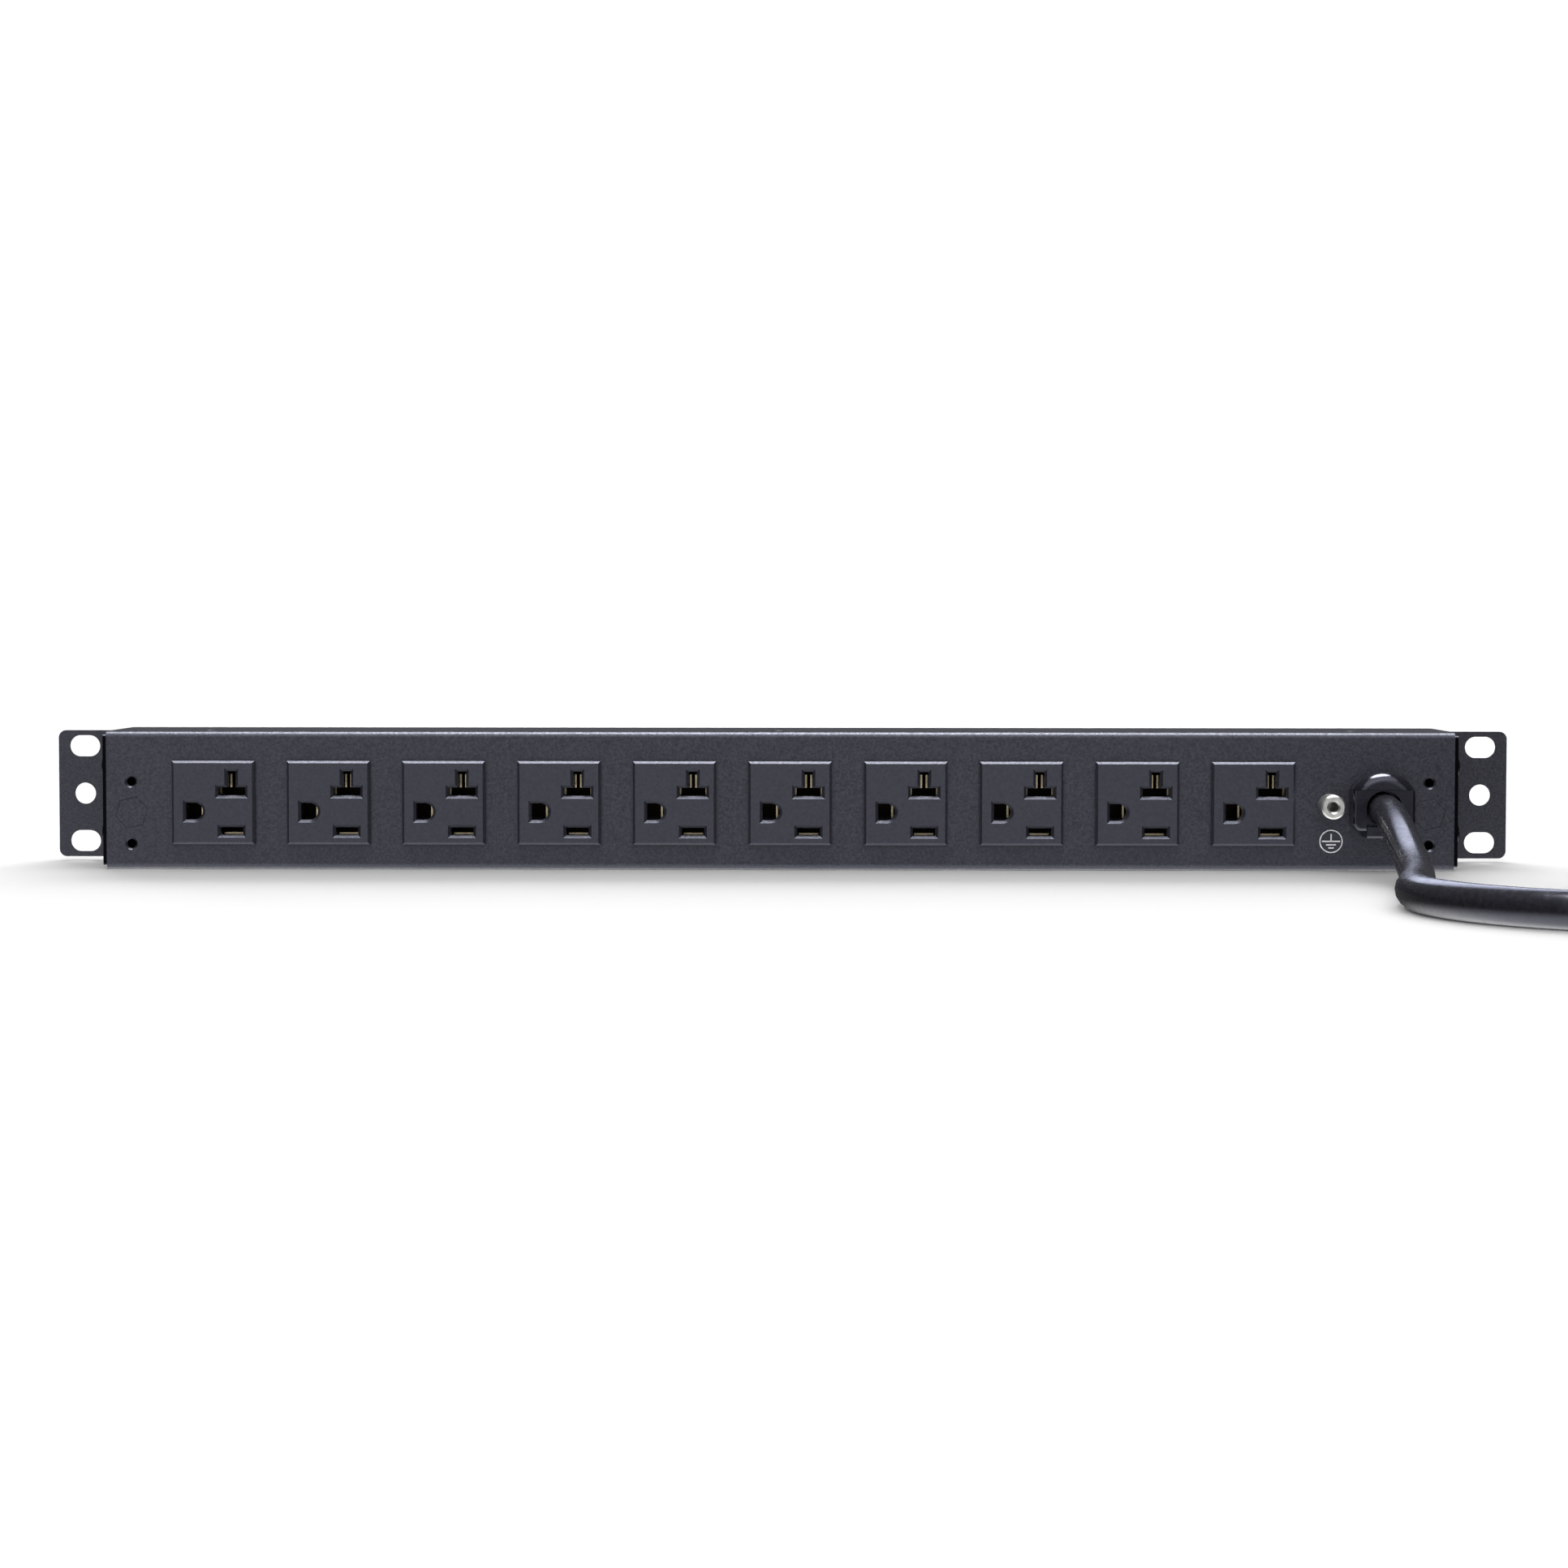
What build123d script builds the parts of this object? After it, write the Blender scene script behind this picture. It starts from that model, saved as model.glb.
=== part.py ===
from build123d import *
import math
import os

# A one-unit rack power strip. Ten sockets and the mains cord are on the rear face (-Y), and the
# switch, the breaker and two more sockets are on the front face (+Y), where the rack ears are.
# All sizes are in millimetres. The origin is on the surface that the strip stands on, at the
# middle of the box of the strip without its cord.

# ---------------------------------------------------------------- driving dimensions
BODY_WIDTH = 432.0
BODY_HEIGHT = 44.4
BODY_DEPTH = 44.4
SHEET = 1.2
BEND = 2.0
INNER_BEND = BEND - SHEET
SEAM = 15.7
SEAM_GAP = 0.3
TONGUE = 11.5

RACK_WIDTH = 482.6
RACK_HOLE_SPACING = 465.1
RACK_SLOT_SPACING = 31.75
RACK_HOLE = 7.1
RACK_SLOT = 10.2
EAR_HEIGHT = 42.2
EAR_CORNER = 2.5
EAR_FLANGE_START = 0.4

STRAIN_RELIEF_REACH = 10.0
BUTTON_REACH = 9.0

REAR_Y = -(BODY_DEPTH + BUTTON_REACH - STRAIN_RELIEF_REACH) / 2
FRONT_Y = REAR_Y + BODY_DEPTH
MID_Z = BODY_HEIGHT / 2
SIDE_X = BODY_WIDTH / 2

# sockets, the 20 A pattern with a T-shaped neutral slot, 12.7 mm between the slots
OUTLET_COUNT = 10
OUTLET_PITCH = 37.0
FIRST_OUTLET_X = -181.3
OUTLET_Z = 21.5
FRONT_OUTLETS_X = (118.0, 81.0)
FACE_WIDTH = 26.6
FACE_HEIGHT = 26.8
FACE_PROUD = 2.0
FACE_CHAMFER = 0.7
HOUSING_WIDTH = 25.0
HOUSING_HEIGHT = 25.2
HOUSING_DEPTH = 16.0
FACE_WALL = 1.2
CUTOUT_GAP = 0.15
BEVEL = 0.9
SLOT_X = 5.9
NEUTRAL_Z = 3.6
LINE_Z = -9.1
GROUND_X = -6.1
GROUND_Z = -2.75
BAR_WIDTH = 10.4
BAR_HEIGHT = 4.4
LEG_WIDTH = 4.4
LEG_TOP = 11.0
LINE_SLOT_WIDTH = 9.0
LINE_SLOT_HEIGHT = 4.2
GROUND_RADIUS = 3.6
GROUND_FLAT = -3.6
BACK_THICK = 1.5
CONTACT_THICK = 0.6
BUS_DEPTH = 18.0
BUS_THICK = 1.2
BUS_HEIGHT = 4.2
BUS_END_X = 165.0
INSULATOR_THICK = 1.0

# rear face fittings
TRAY_HOLE_SPACING_X = 416.0
TRAY_HOLE_SPACING_Z = 20.0
TRAY_HOLE_MID_Z = 18.2
TRAY_HOLE = 2.9
STANDOFF_X = 207.9
STANDOFF_Z = 18.2
STANDOFF_HEX = 9.3
STANDOFF_TURN = 13.0
STANDOFF_BARREL = 7.0
STUD_X = 176.1
STUD_Z = 20.9
STUD_DIAMETER = 7.7
STUD_LENGTH = 9.4
STUD_BORE = 3.2
SYMBOL_X = 176.7
SYMBOL_Z = 9.5
PRINT = 0.08

# strain relief bushing and cord
BUSHING_X = 192.2
BUSHING_Z = 20.9
BUSHING_RADIUS = 11.2
BUSHING_WIDTH = 19.6
BUSHING_SEAM_Z = 26.3
BUSHING_SLOT = 11.4
BUSHING_COLLAR = 16.6
CORD_X = 192.4
CORD_Z = 20.4
CORD_DIAMETER = 10.4
CORD_LENGTH = 3660.0
CORD_INSIDE = 12.0
LEAD_DIAMETER = 3.6

# screws
COVER_SCREW_X = (-184.0, 0.0, 184.0)
COVER_SCREW_DEPTH = 9.5
EAR_SCREW_DEPTH = 11.0
EAR_SCREW_RISE = 10.65

# front fittings
SWITCH_X = 184.0
SWITCH_BEZEL = (31.0, 16.0)
SWITCH_BODY = (28.0, 13.2)
SWITCH_DEPTH = 20.0
SWITCH_TAB_X = (174.0, 184.0)
ROCKER_LENGTH = 24.8
ROCKER_HEIGHT = 10.6
ROCKER_TILT = 10.0
PIN_RADIUS = 1.2
PIN_CLEARANCE = 0.05
BREAKER_X = 155.0
BREAKER_BODY = (14.0, 28.0)
BREAKER_BUSHING = 9.5
BUTTON_DIAMETER = 5.6

os.makedirs("parts", exist_ok=True)
written = []


def keep(part, name):
    """Label a finished piece and write it as its own node."""
    part.label = name
    export_step(part, "parts/" + name + ".step")
    written.append(name)


def rear(depth):
    """A plane parallel to the rear face, this far in from it, that faces out of the rear."""
    return Plane(origin=(0, REAR_Y + depth, 0), x_dir=(1, 0, 0), z_dir=(0, -1, 0))


def front(depth):
    """A plane parallel to the front face, this far in from it, that faces out of the front."""
    return Plane(origin=(0, FRONT_Y - depth, 0), x_dir=(-1, 0, 0), z_dir=(0, 1, 0))


def moved(plane, x, z):
    """The same plane with its origin at this place across and up the face."""
    return Plane(origin=(x, plane.origin.Y, z), x_dir=plane.x_dir, z_dir=plane.z_dir)


REAR_OUTLETS_X = [FIRST_OUTLET_X + OUTLET_PITCH * step for step in range(OUTLET_COUNT)]
REAR_SEATS = [moved(rear(0), x, OUTLET_Z) for x in REAR_OUTLETS_X]
FRONT_SEATS = [moved(front(0), x, OUTLET_Z) for x in FRONT_OUTLETS_X]
ALL_SEATS = REAR_SEATS + FRONT_SEATS


# ---------------------------------------------------------------- sheet metal
def cut_outlet_holes(seats):
    """Cut the openings that the socket housings snap into."""
    for seat in seats:
        with BuildSketch(seat) as opening:
            Rectangle(HOUSING_WIDTH + 2 * CUTOUT_GAP, HOUSING_HEIGHT + 2 * CUTOUT_GAP)
        extrude(opening.sketch, amount=-SHEET, mode=Mode.SUBTRACT)


def cut_round(seat, diameter, depth=SHEET):
    """Cut a round hole straight into the current part from a seat that faces out of it."""
    with BuildSketch(seat) as hole:
        Circle(diameter / 2)
    extrude(hole.sketch, amount=-depth, mode=Mode.SUBTRACT)


with BuildPart() as rear_panel:
    with BuildSketch(Plane.YZ.offset(-SIDE_X)):
        with Locations((REAR_Y + SEAM / 2, MID_Z)):
            Rectangle(SEAM, BODY_HEIGHT)
        with Locations((REAR_Y + SHEET + SEAM / 2, MID_Z)):
            Rectangle(SEAM, BODY_HEIGHT - 2 * SHEET, mode=Mode.SUBTRACT)
    extrude(amount=BODY_WIDTH)
    fillet(rear_panel.edges().filter_by(Axis.X).group_by(Axis.Y)[1], INNER_BEND)
    fillet(rear_panel.edges().filter_by(Axis.X).group_by(Axis.Y)[0], BEND)
    cut_outlet_holes(REAR_SEATS)
    with BuildSketch(rear(0)):
        for side in (-1, 1):
            with Locations(Location((side * STANDOFF_X, STANDOFF_Z, 0), (0, 0, STANDOFF_TURN))):
                RegularPolygon(STANDOFF_HEX / 2, 6, major_radius=False)
    extrude(amount=-SHEET, mode=Mode.SUBTRACT)
    for side in (-1, 1):
        for rise in (-1, 1):
            hole_x = side * TRAY_HOLE_SPACING_X / 2
            hole_z = TRAY_HOLE_MID_Z + rise * TRAY_HOLE_SPACING_Z / 2
            cut_round(moved(rear(0), hole_x, hole_z), TRAY_HOLE)
    tray_rims = rear_panel.edges().filter_by(GeomType.CIRCLE).group_by(Axis.Y)[0]
    chamfer(tray_rims, 0.6)
    cut_round(moved(rear(0), STUD_X, STUD_Z), STUD_DIAMETER - 1.4)
    with BuildSketch(moved(rear(0), BUSHING_X, CORD_Z)):
        Circle(BUSHING_COLLAR / 2 + 0.1)
    extrude(amount=-SHEET, mode=Mode.SUBTRACT)
    for x in COVER_SCREW_X:
        for top in (True, False):
            seat_z = BODY_HEIGHT if top else 0
            turn = (0, 0, 0) if top else (180, 0, 0)
            with Locations(Location((x, REAR_Y + COVER_SCREW_DEPTH, seat_z), turn)):
                CounterSinkHole(1.55, 2.85, depth=SHEET, counter_sink_angle=90)
keep(rear_panel.part, "rear_panel")

with BuildPart() as front_chassis:
    near_y = REAR_Y + SEAM + SEAM_GAP
    shell_depth = FRONT_Y - near_y
    with BuildSketch(Plane.YZ.offset(-SIDE_X)):
        with Locations((near_y + shell_depth / 2, MID_Z)):
            Rectangle(shell_depth, BODY_HEIGHT)
        with Locations((near_y + shell_depth / 2 - SHEET, MID_Z)):
            Rectangle(shell_depth, BODY_HEIGHT - 2 * SHEET, mode=Mode.SUBTRACT)
    extrude(amount=BODY_WIDTH)
    fillet(front_chassis.edges().filter_by(Axis.X).group_by(Axis.Y)[-2], INNER_BEND)
    fillet(front_chassis.edges().filter_by(Axis.X).group_by(Axis.Y)[-1], BEND)
    # joggled tongues that slide in under the rear panel's flanges
    with BuildSketch(Plane.YZ.offset(-SIDE_X + SHEET)):
        for z in (1.5 * SHEET, BODY_HEIGHT - 1.5 * SHEET):
            with Locations((near_y + 1.5 * SHEET - (TONGUE + 1.5 * SHEET) / 2, z)):
                Rectangle(TONGUE + 1.5 * SHEET, SHEET)
    extrude(amount=BODY_WIDTH - 2 * SHEET)
    # folded end walls, which stop at the inside of the rear panel's bends
    wall_start = REAR_Y + BEND + 0.1
    wall_depth = FRONT_Y - SHEET - wall_start
    for side in (-1, 1):
        with BuildSketch(Plane.YZ.offset(side * (SIDE_X - SHEET / 2))):
            with Locations((wall_start + wall_depth / 2, MID_Z)):
                Rectangle(wall_depth, BODY_HEIGHT - 2 * SHEET)
        extrude(amount=SHEET / 2, both=True)
    cut_outlet_holes(FRONT_SEATS)
    with BuildSketch(moved(front(0), SWITCH_X, MID_Z)):
        Rectangle(SWITCH_BODY[0] + 0.4, SWITCH_BODY[1] + 0.4)
    extrude(amount=-SHEET, mode=Mode.SUBTRACT)
    cut_round(moved(front(0), BREAKER_X, MID_Z), BREAKER_BUSHING + 0.2)
    for side in (-1, 1):
        with Locations(Location((side * STANDOFF_X, FRONT_Y, STANDOFF_Z), (-90, 0, 0))):
            CounterSinkHole(1.65, 2.85, depth=SHEET, counter_sink_angle=90)
        for rise in (-1, 1):
            screw_z = MID_Z + rise * EAR_SCREW_RISE
            with Locations(Location((side * SIDE_X, REAR_Y + EAR_SCREW_DEPTH, screw_z), (0, 90, 0))):
                Cylinder(1.9, 4 * SHEET, mode=Mode.SUBTRACT)
    for x in COVER_SCREW_X:
        for z in (1.5 * SHEET, BODY_HEIGHT - 1.5 * SHEET):
            with Locations((x, REAR_Y + COVER_SCREW_DEPTH, z)):
                Cylinder(1.75, 2 * SHEET, mode=Mode.SUBTRACT)
keep(front_chassis.part, "front_chassis")

with BuildPart() as ear_right:
    flange_start = REAR_Y + EAR_FLANGE_START
    with BuildSketch(Plane.XY.offset(MID_Z - EAR_HEIGHT / 2)) as ear_section:
        with Locations((SIDE_X + SHEET / 2, (flange_start + FRONT_Y) / 2)):
            Rectangle(SHEET, FRONT_Y - flange_start)
        with Locations(((SIDE_X + RACK_WIDTH / 2) / 2, FRONT_Y - SHEET / 2)):
            Rectangle(RACK_WIDTH / 2 - SIDE_X, SHEET)
        fillet(ear_section.vertices().sort_by_distance((SIDE_X, FRONT_Y))[0], BEND)
        fillet(ear_section.vertices().sort_by_distance((SIDE_X + SHEET, FRONT_Y - SHEET))[0], INNER_BEND)
    extrude(amount=EAR_HEIGHT)
    fillet(ear_right.edges().filter_by(Axis.Y).group_by(Axis.X)[-1], EAR_CORNER)
    fillet(ear_right.edges().filter_by(Axis.X).group_by(Axis.Y)[0], 1.0)
    with BuildSketch(Plane(origin=(0, FRONT_Y, 0), x_dir=(1, 0, 0), z_dir=(0, -1, 0))):
        with Locations((RACK_HOLE_SPACING / 2, MID_Z)):
            Circle(RACK_HOLE / 2)
            with GridLocations(0, RACK_SLOT_SPACING, 1, 2):
                SlotOverall(RACK_SLOT, RACK_HOLE)
    extrude(amount=SHEET, mode=Mode.SUBTRACT)
    for rise in (-1, 1):
        screw_z = MID_Z + rise * EAR_SCREW_RISE
        with Locations(Location((SIDE_X, REAR_Y + EAR_SCREW_DEPTH, screw_z), (0, 90, 0))):
            Cylinder(2.1, 4 * SHEET, mode=Mode.SUBTRACT)
keep(ear_right.part, "ear_right")

with BuildPart() as ear_left:
    add(mirror(ear_right.part, about=Plane.YZ, mode=Mode.PRIVATE))
keep(ear_left.part, "ear_left")


# ---------------------------------------------------------------- screws
def cross_recess(seat, width, depth):
    """Cut a tapered cross recess into a screw head from its top."""
    with BuildSketch(seat) as cross:
        Rectangle(width, width * 0.24)
        Rectangle(width * 0.24, width)
    extrude(cross.sketch, amount=-depth, taper=9, mode=Mode.SUBTRACT)


def countersunk_screw(seat, head, shank, length):
    """A flat-headed screw: its head is flush with the seat and its shank goes in behind it."""
    cone = (head - shank) / 2
    with BuildSketch(seat.offset(-0.05)) as disc:
        Circle(head / 2)
    extrude(disc.sketch, amount=-cone, taper=45)
    with BuildSketch(seat.offset(-0.05)) as core:
        Circle(shank / 2)
    extrude(core.sketch, amount=-length)
    cross_recess(seat, head * 0.55, 0.9)


def pan_screw(seat, head, rise, shank, length):
    """A pan-headed screw that stands on the seat."""
    with BuildSketch(seat) as disc:
        Circle(head / 2)
    blank = extrude(disc.sketch, amount=rise)
    rims = blank.edges().filter_by(GeomType.CIRCLE)
    fillet(rims.sort_by(lambda rim: seat.to_local_coords(rim.center()).Z)[-1], rise * 0.6)
    with BuildSketch(seat) as core:
        Circle(shank / 2)
    extrude(core.sketch, amount=-length)
    cross_recess(seat.offset(rise), head * 0.55, rise * 0.6)


with BuildPart() as cover_screws:
    for x in COVER_SCREW_X:
        place_y = REAR_Y + COVER_SCREW_DEPTH
        countersunk_screw(Plane(origin=(x, place_y, BODY_HEIGHT), z_dir=(0, 0, 1)), 5.5, 2.9, 6.0)
        countersunk_screw(Plane(origin=(x, place_y, 0), z_dir=(0, 0, -1)), 5.5, 2.9, 6.0)
keep(cover_screws.part, "cover_screws")

with BuildPart() as front_screws:
    for side in (-1, 1):
        countersunk_screw(moved(front(0), side * STANDOFF_X, STANDOFF_Z), 5.5, 3.1, 8.0)
keep(front_screws.part, "front_screws")

for side, name in ((-1, "ear_screws_left"), (1, "ear_screws_right")):
    with BuildPart() as ear_screws:
        for rise in (-1, 1):
            place = (side * (SIDE_X + SHEET), REAR_Y + EAR_SCREW_DEPTH, MID_Z + rise * EAR_SCREW_RISE)
            pan_screw(Plane(origin=place, x_dir=(0, 1, 0), z_dir=(side, 0, 0)), 6.75, 2.2, 3.7, 7.0)
    keep(ear_screws.part, name)

for side, name in ((-1, "clinch_standoff_left"), (1, "clinch_standoff_right")):
    with BuildPart() as standoff:
        seat = moved(rear(0), side * STANDOFF_X, STANDOFF_Z)
        with BuildSketch(seat.offset(-0.05)):
            with Locations(Location((0, 0, 0), (0, 0, STANDOFF_TURN))):
                RegularPolygon(STANDOFF_HEX / 2 - 0.11, 6, major_radius=False)
        extrude(amount=-(SHEET - 0.05))
        with BuildSketch(seat.offset(-SHEET)):
            Circle(STANDOFF_BARREL / 2)
        extrude(amount=-(BODY_DEPTH - 2 * SHEET))
        cut_round(moved(front(SHEET), side * STANDOFF_X, STANDOFF_Z), 3.2, 14.0)
    keep(standoff.part, name)


# ---------------------------------------------------------------- sockets
def neutral_slot():
    """The T-shaped neutral slot at the face, where its bevel starts."""
    bar_bottom = NEUTRAL_Z - BAR_HEIGHT / 2
    with Locations((SLOT_X, NEUTRAL_Z)):
        Rectangle(BAR_WIDTH, BAR_HEIGHT)
    with Locations((SLOT_X, (bar_bottom + LEG_TOP) / 2)):
        Rectangle(LEG_WIDTH, LEG_TOP - bar_bottom)


def line_slot():
    """The line slot at the face."""
    with Locations((SLOT_X, LINE_Z)):
        Rectangle(LINE_SLOT_WIDTH, LINE_SLOT_HEIGHT)


def ground_hole():
    """The ground hole at the face: round on one side and flat on the other."""
    with Locations((GROUND_X, GROUND_Z)):
        Circle(GROUND_RADIUS)
        with Locations((GROUND_FLAT / 2, 0)):
            Rectangle(-GROUND_FLAT, 2 * GROUND_RADIUS)


def outlet_housing(seat):
    """The moulded housing of one socket, with three openings and the chambers behind them."""
    with BuildPart() as housing:
        with BuildSketch(seat):
            Rectangle(FACE_WIDTH, FACE_HEIGHT)
        extrude(amount=FACE_PROUD)
        top = housing.faces().sort_by(lambda face: seat.to_local_coords(face.center()).Z)[-1]
        chamfer(top.edges(), FACE_CHAMFER)
        with BuildSketch(seat):
            Rectangle(HOUSING_WIDTH, HOUSING_HEIGHT)
        extrude(amount=-HOUSING_DEPTH)
        for outline in (neutral_slot, line_slot, ground_hole):
            with BuildSketch(seat.offset(FACE_PROUD)) as mouth:
                outline()
            extrude(amount=-BEVEL, taper=45, mode=Mode.SUBTRACT)
            with BuildSketch(seat.offset(FACE_PROUD)):
                offset(mouth.sketch_local, amount=-BEVEL, kind=Kind.INTERSECTION)
            extrude(amount=-(FACE_PROUD + FACE_WALL + 1), mode=Mode.SUBTRACT)
        # chambers for the contacts, open at the back
        with BuildSketch(seat.offset(-FACE_WALL)):
            with Locations((SLOT_X, 6.1)):
                Rectangle(10.4, 10.4)
            with Locations((SLOT_X, LINE_Z)):
                Rectangle(8.4, 4.2)
            with Locations((GROUND_X - 0.4, GROUND_Z)):
                Rectangle(7.6, 7.4)
        extrude(amount=-HOUSING_DEPTH, mode=Mode.SUBTRACT)
        # snap latches above and below, behind the sheet
        for side in (-1, 1):
            with BuildSketch(seat.offset(-SHEET - 0.1)):
                with Locations((0, side * (HOUSING_HEIGHT / 2 + 0.4))):
                    Rectangle(9.0, 0.8)
            extrude(amount=-4.0)
            outer = housing.edges().filter_by(Axis.X).group_by(Axis.Z)[-1 if side > 0 else 0]
            chamfer(outer.sort_by(lambda edge: seat.to_local_coords(edge.center()).Z)[0], 0.7)
    return housing.part


def outlet_back(seat):
    """The back cover of one socket, with a slot for each contact's tail."""
    with BuildSketch(seat.offset(-HOUSING_DEPTH)) as plate:
        Rectangle(HOUSING_WIDTH, HOUSING_HEIGHT)
        for x, z in CONTACT_TAILS:
            with Locations((x, z)):
                Rectangle(3.4, 1.6, mode=Mode.SUBTRACT)
    extrude(plate.sketch, amount=-BACK_THICK)


CONTACT_TAILS = ((SLOT_X, NEUTRAL_Z), (SLOT_X, LINE_Z), (GROUND_X, GROUND_Z))
CONTACT_BACK = HOUSING_DEPTH - 2.4
CONTACT_REACH = 10.6


def tail(seat, x, z):
    """The tail that carries a contact through the back cover to its bus bar."""
    with BuildSketch(seat.offset(-CONTACT_BACK)) as strip:
        with Locations((x, z)):
            Rectangle(3.0, 1.2)
    extrude(strip.sketch, amount=-(BUS_DEPTH - CONTACT_BACK))


def back_plate(seat, x, z, width, height):
    """The plate across the back of a contact that its arms are folded up from."""
    with BuildSketch(seat.offset(-CONTACT_BACK)) as plate:
        with Locations((x, z)):
            Rectangle(width, height)
    extrude(plate.sketch, amount=CONTACT_THICK)


def arm(seat, x, z, width, height, reach=CONTACT_REACH):
    """One spring arm of a contact, from its back plate towards the socket's face."""
    with BuildSketch(seat.offset(-CONTACT_BACK)) as strip:
        with Locations((x, z)):
            Rectangle(width, height)
    extrude(strip.sketch, amount=reach)


def neutral_contact(seat):
    """The T-shaped contact: two arms in the leg, and arms above and beside the bar."""
    back_plate(seat, SLOT_X, 6.0, 9.6, 9.2)
    for side in (-1, 1):
        arm(seat, SLOT_X + side * 0.85, 6.9, CONTACT_THICK, 4.2)
        arm(seat, SLOT_X + side * 4.2, NEUTRAL_Z, CONTACT_THICK, 2.2)
        arm(seat, SLOT_X + side * 3.0, 5.3, 1.6, CONTACT_THICK, 9.0)
    tail(seat, SLOT_X, NEUTRAL_Z)


def line_contact(seat):
    """A pair of flat arms, one each side of the line blade."""
    back_plate(seat, SLOT_X, LINE_Z, 6.6, 3.4)
    for rise in (-0.95, 1.4):
        arm(seat, SLOT_X, LINE_Z + rise, 6.2, CONTACT_THICK)
    tail(seat, SLOT_X, LINE_Z)


def ground_contact(seat):
    """Two upright arms that grip the ground pin from its sides."""
    back_plate(seat, GROUND_X - 0.4, GROUND_Z, 6.4, 4.6)
    arm(seat, GROUND_X + 1.85, GROUND_Z, CONTACT_THICK, 4.3)
    arm(seat, GROUND_X - 3.3, GROUND_Z, CONTACT_THICK, 4.3)
    tail(seat, GROUND_X, GROUND_Z)


for number, seat in enumerate(REAR_SEATS, 1):
    keep(outlet_housing(seat), f"outlet_{number:02d}")
for number, seat in enumerate(FRONT_SEATS, 1):
    keep(outlet_housing(seat), f"front_outlet_{number}")

for name, seats in (("outlet_backs", REAR_SEATS), ("front_outlet_backs", FRONT_SEATS)):
    with BuildPart() as backs:
        for seat in seats:
            outlet_back(seat)
    keep(backs.part, name)

for name, contact in (("neutral_contacts", neutral_contact), ("line_contacts", line_contact),
                      ("ground_contacts", ground_contact)):
    with BuildPart() as contacts:
        for seat in ALL_SEATS:
            contact(seat)
    keep(contacts.part, name)

BUSES = (("neutral_bus", SLOT_X, NEUTRAL_Z), ("line_bus", SLOT_X, LINE_Z),
         ("ground_bus", GROUND_X, GROUND_Z))
for name, x, z in BUSES:
    start_x = REAR_OUTLETS_X[0] + x - 4.0
    with BuildPart() as bus:
        with BuildSketch(rear(BUS_DEPTH)):
            with Locations(((start_x + BUS_END_X) / 2, OUTLET_Z + z)):
                Rectangle(BUS_END_X - start_x, BUS_HEIGHT)
        extrude(amount=-BUS_THICK)
    keep(bus.part, name)

# brass posts that feed the front sockets straight from the bus bars
POSTS = [(seat_x - x, OUTLET_Z + z) for seat_x in FRONT_OUTLETS_X for label, x, z in BUSES]
POST_LENGTH = BODY_DEPTH - 2 * BUS_DEPTH - BUS_THICK

with BuildPart() as bus_insulator:
    with BuildSketch(rear(BUS_DEPTH + BUS_THICK)):
        with Locations(((REAR_OUTLETS_X[0] - 10 + BUS_END_X) / 2, OUTLET_Z + GROUND_Z)):
            Rectangle(BUS_END_X - REAR_OUTLETS_X[0] + 10, 22.0)
        for x, z in POSTS:
            with Locations((x, z)):
                Circle(1.6, mode=Mode.SUBTRACT)
    extrude(amount=-INSULATOR_THICK)
keep(bus_insulator.part, "bus_insulator")

with BuildPart() as front_posts:
    for x, z in POSTS:
        with BuildSketch(moved(rear(BUS_DEPTH + BUS_THICK), x, z)):
            Circle(1.4)
        extrude(amount=-POST_LENGTH)
keep(front_posts.part, "front_posts")

# ---------------------------------------------------------------- ground stud and its mark
with BuildPart() as ground_stud:
    seat = moved(rear(0), STUD_X, STUD_Z)
    with BuildSketch(seat):
        Circle(STUD_DIAMETER / 2)
    extrude(amount=STUD_LENGTH)
    rims = ground_stud.edges().group_by(Axis.Y)[0]
    chamfer(rims, 0.5)
    with BuildSketch(seat):
        Circle(2.9)
    extrude(amount=-8.0)
    cut_round(seat.offset(STUD_LENGTH), STUD_BORE, 14.0)
    bore_rim = ground_stud.edges().filter_by(GeomType.CIRCLE).group_by(Axis.Y)[0].sort_by(SortBy.LENGTH)[0]
    chamfer(bore_rim, 0.55)
keep(ground_stud.part, "ground_stud")

with BuildPart() as ground_stud_nut:
    seat = moved(rear(SHEET), STUD_X, STUD_Z)
    with BuildSketch(seat):
        RegularPolygon(4.75, 6, major_radius=False)
        Circle(2.95, mode=Mode.SUBTRACT)
    extrude(amount=-3.6)
keep(ground_stud_nut.part, "ground_stud_nut")

with BuildPart() as ground_ring_terminal:
    with BuildSketch(moved(rear(SHEET + 3.6), STUD_X, STUD_Z)):
        Circle(4.6)
        with Locations((0, -6.0)):
            Rectangle(3.4, 6.0)
        with Locations((-6.0, 0)):
            Rectangle(6.0, 3.4)
        Circle(2.95, mode=Mode.SUBTRACT)
    extrude(amount=-0.8)
keep(ground_ring_terminal.part, "ground_ring_terminal")

with BuildPart() as earth_symbol:
    with BuildSketch(moved(rear(0), SYMBOL_X, SYMBOL_Z)):
        Circle(3.73)
        Circle(3.37, mode=Mode.SUBTRACT)
        for drop, width in ((0.0, 5.8), (-1.1, 3.2), (-2.1, 1.8)):
            with Locations((0, drop)):
                Rectangle(width, 0.45)
        with Locations((0, 1.2)):
            Rectangle(0.45, 2.4)
    extrude(amount=PRINT)
keep(earth_symbol.part, "earth_symbol")


# ---------------------------------------------------------------- strain relief bushing
def bushing_outline(low, high):
    """The part of the bushing's round, flat-sided outline between two heights."""
    with Locations((0, BUSHING_Z - CORD_Z)):
        Circle(BUSHING_RADIUS)
    with Locations((0, (low + high) / 2)):
        Rectangle(BUSHING_WIDTH, high - low, mode=Mode.INTERSECT)


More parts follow.
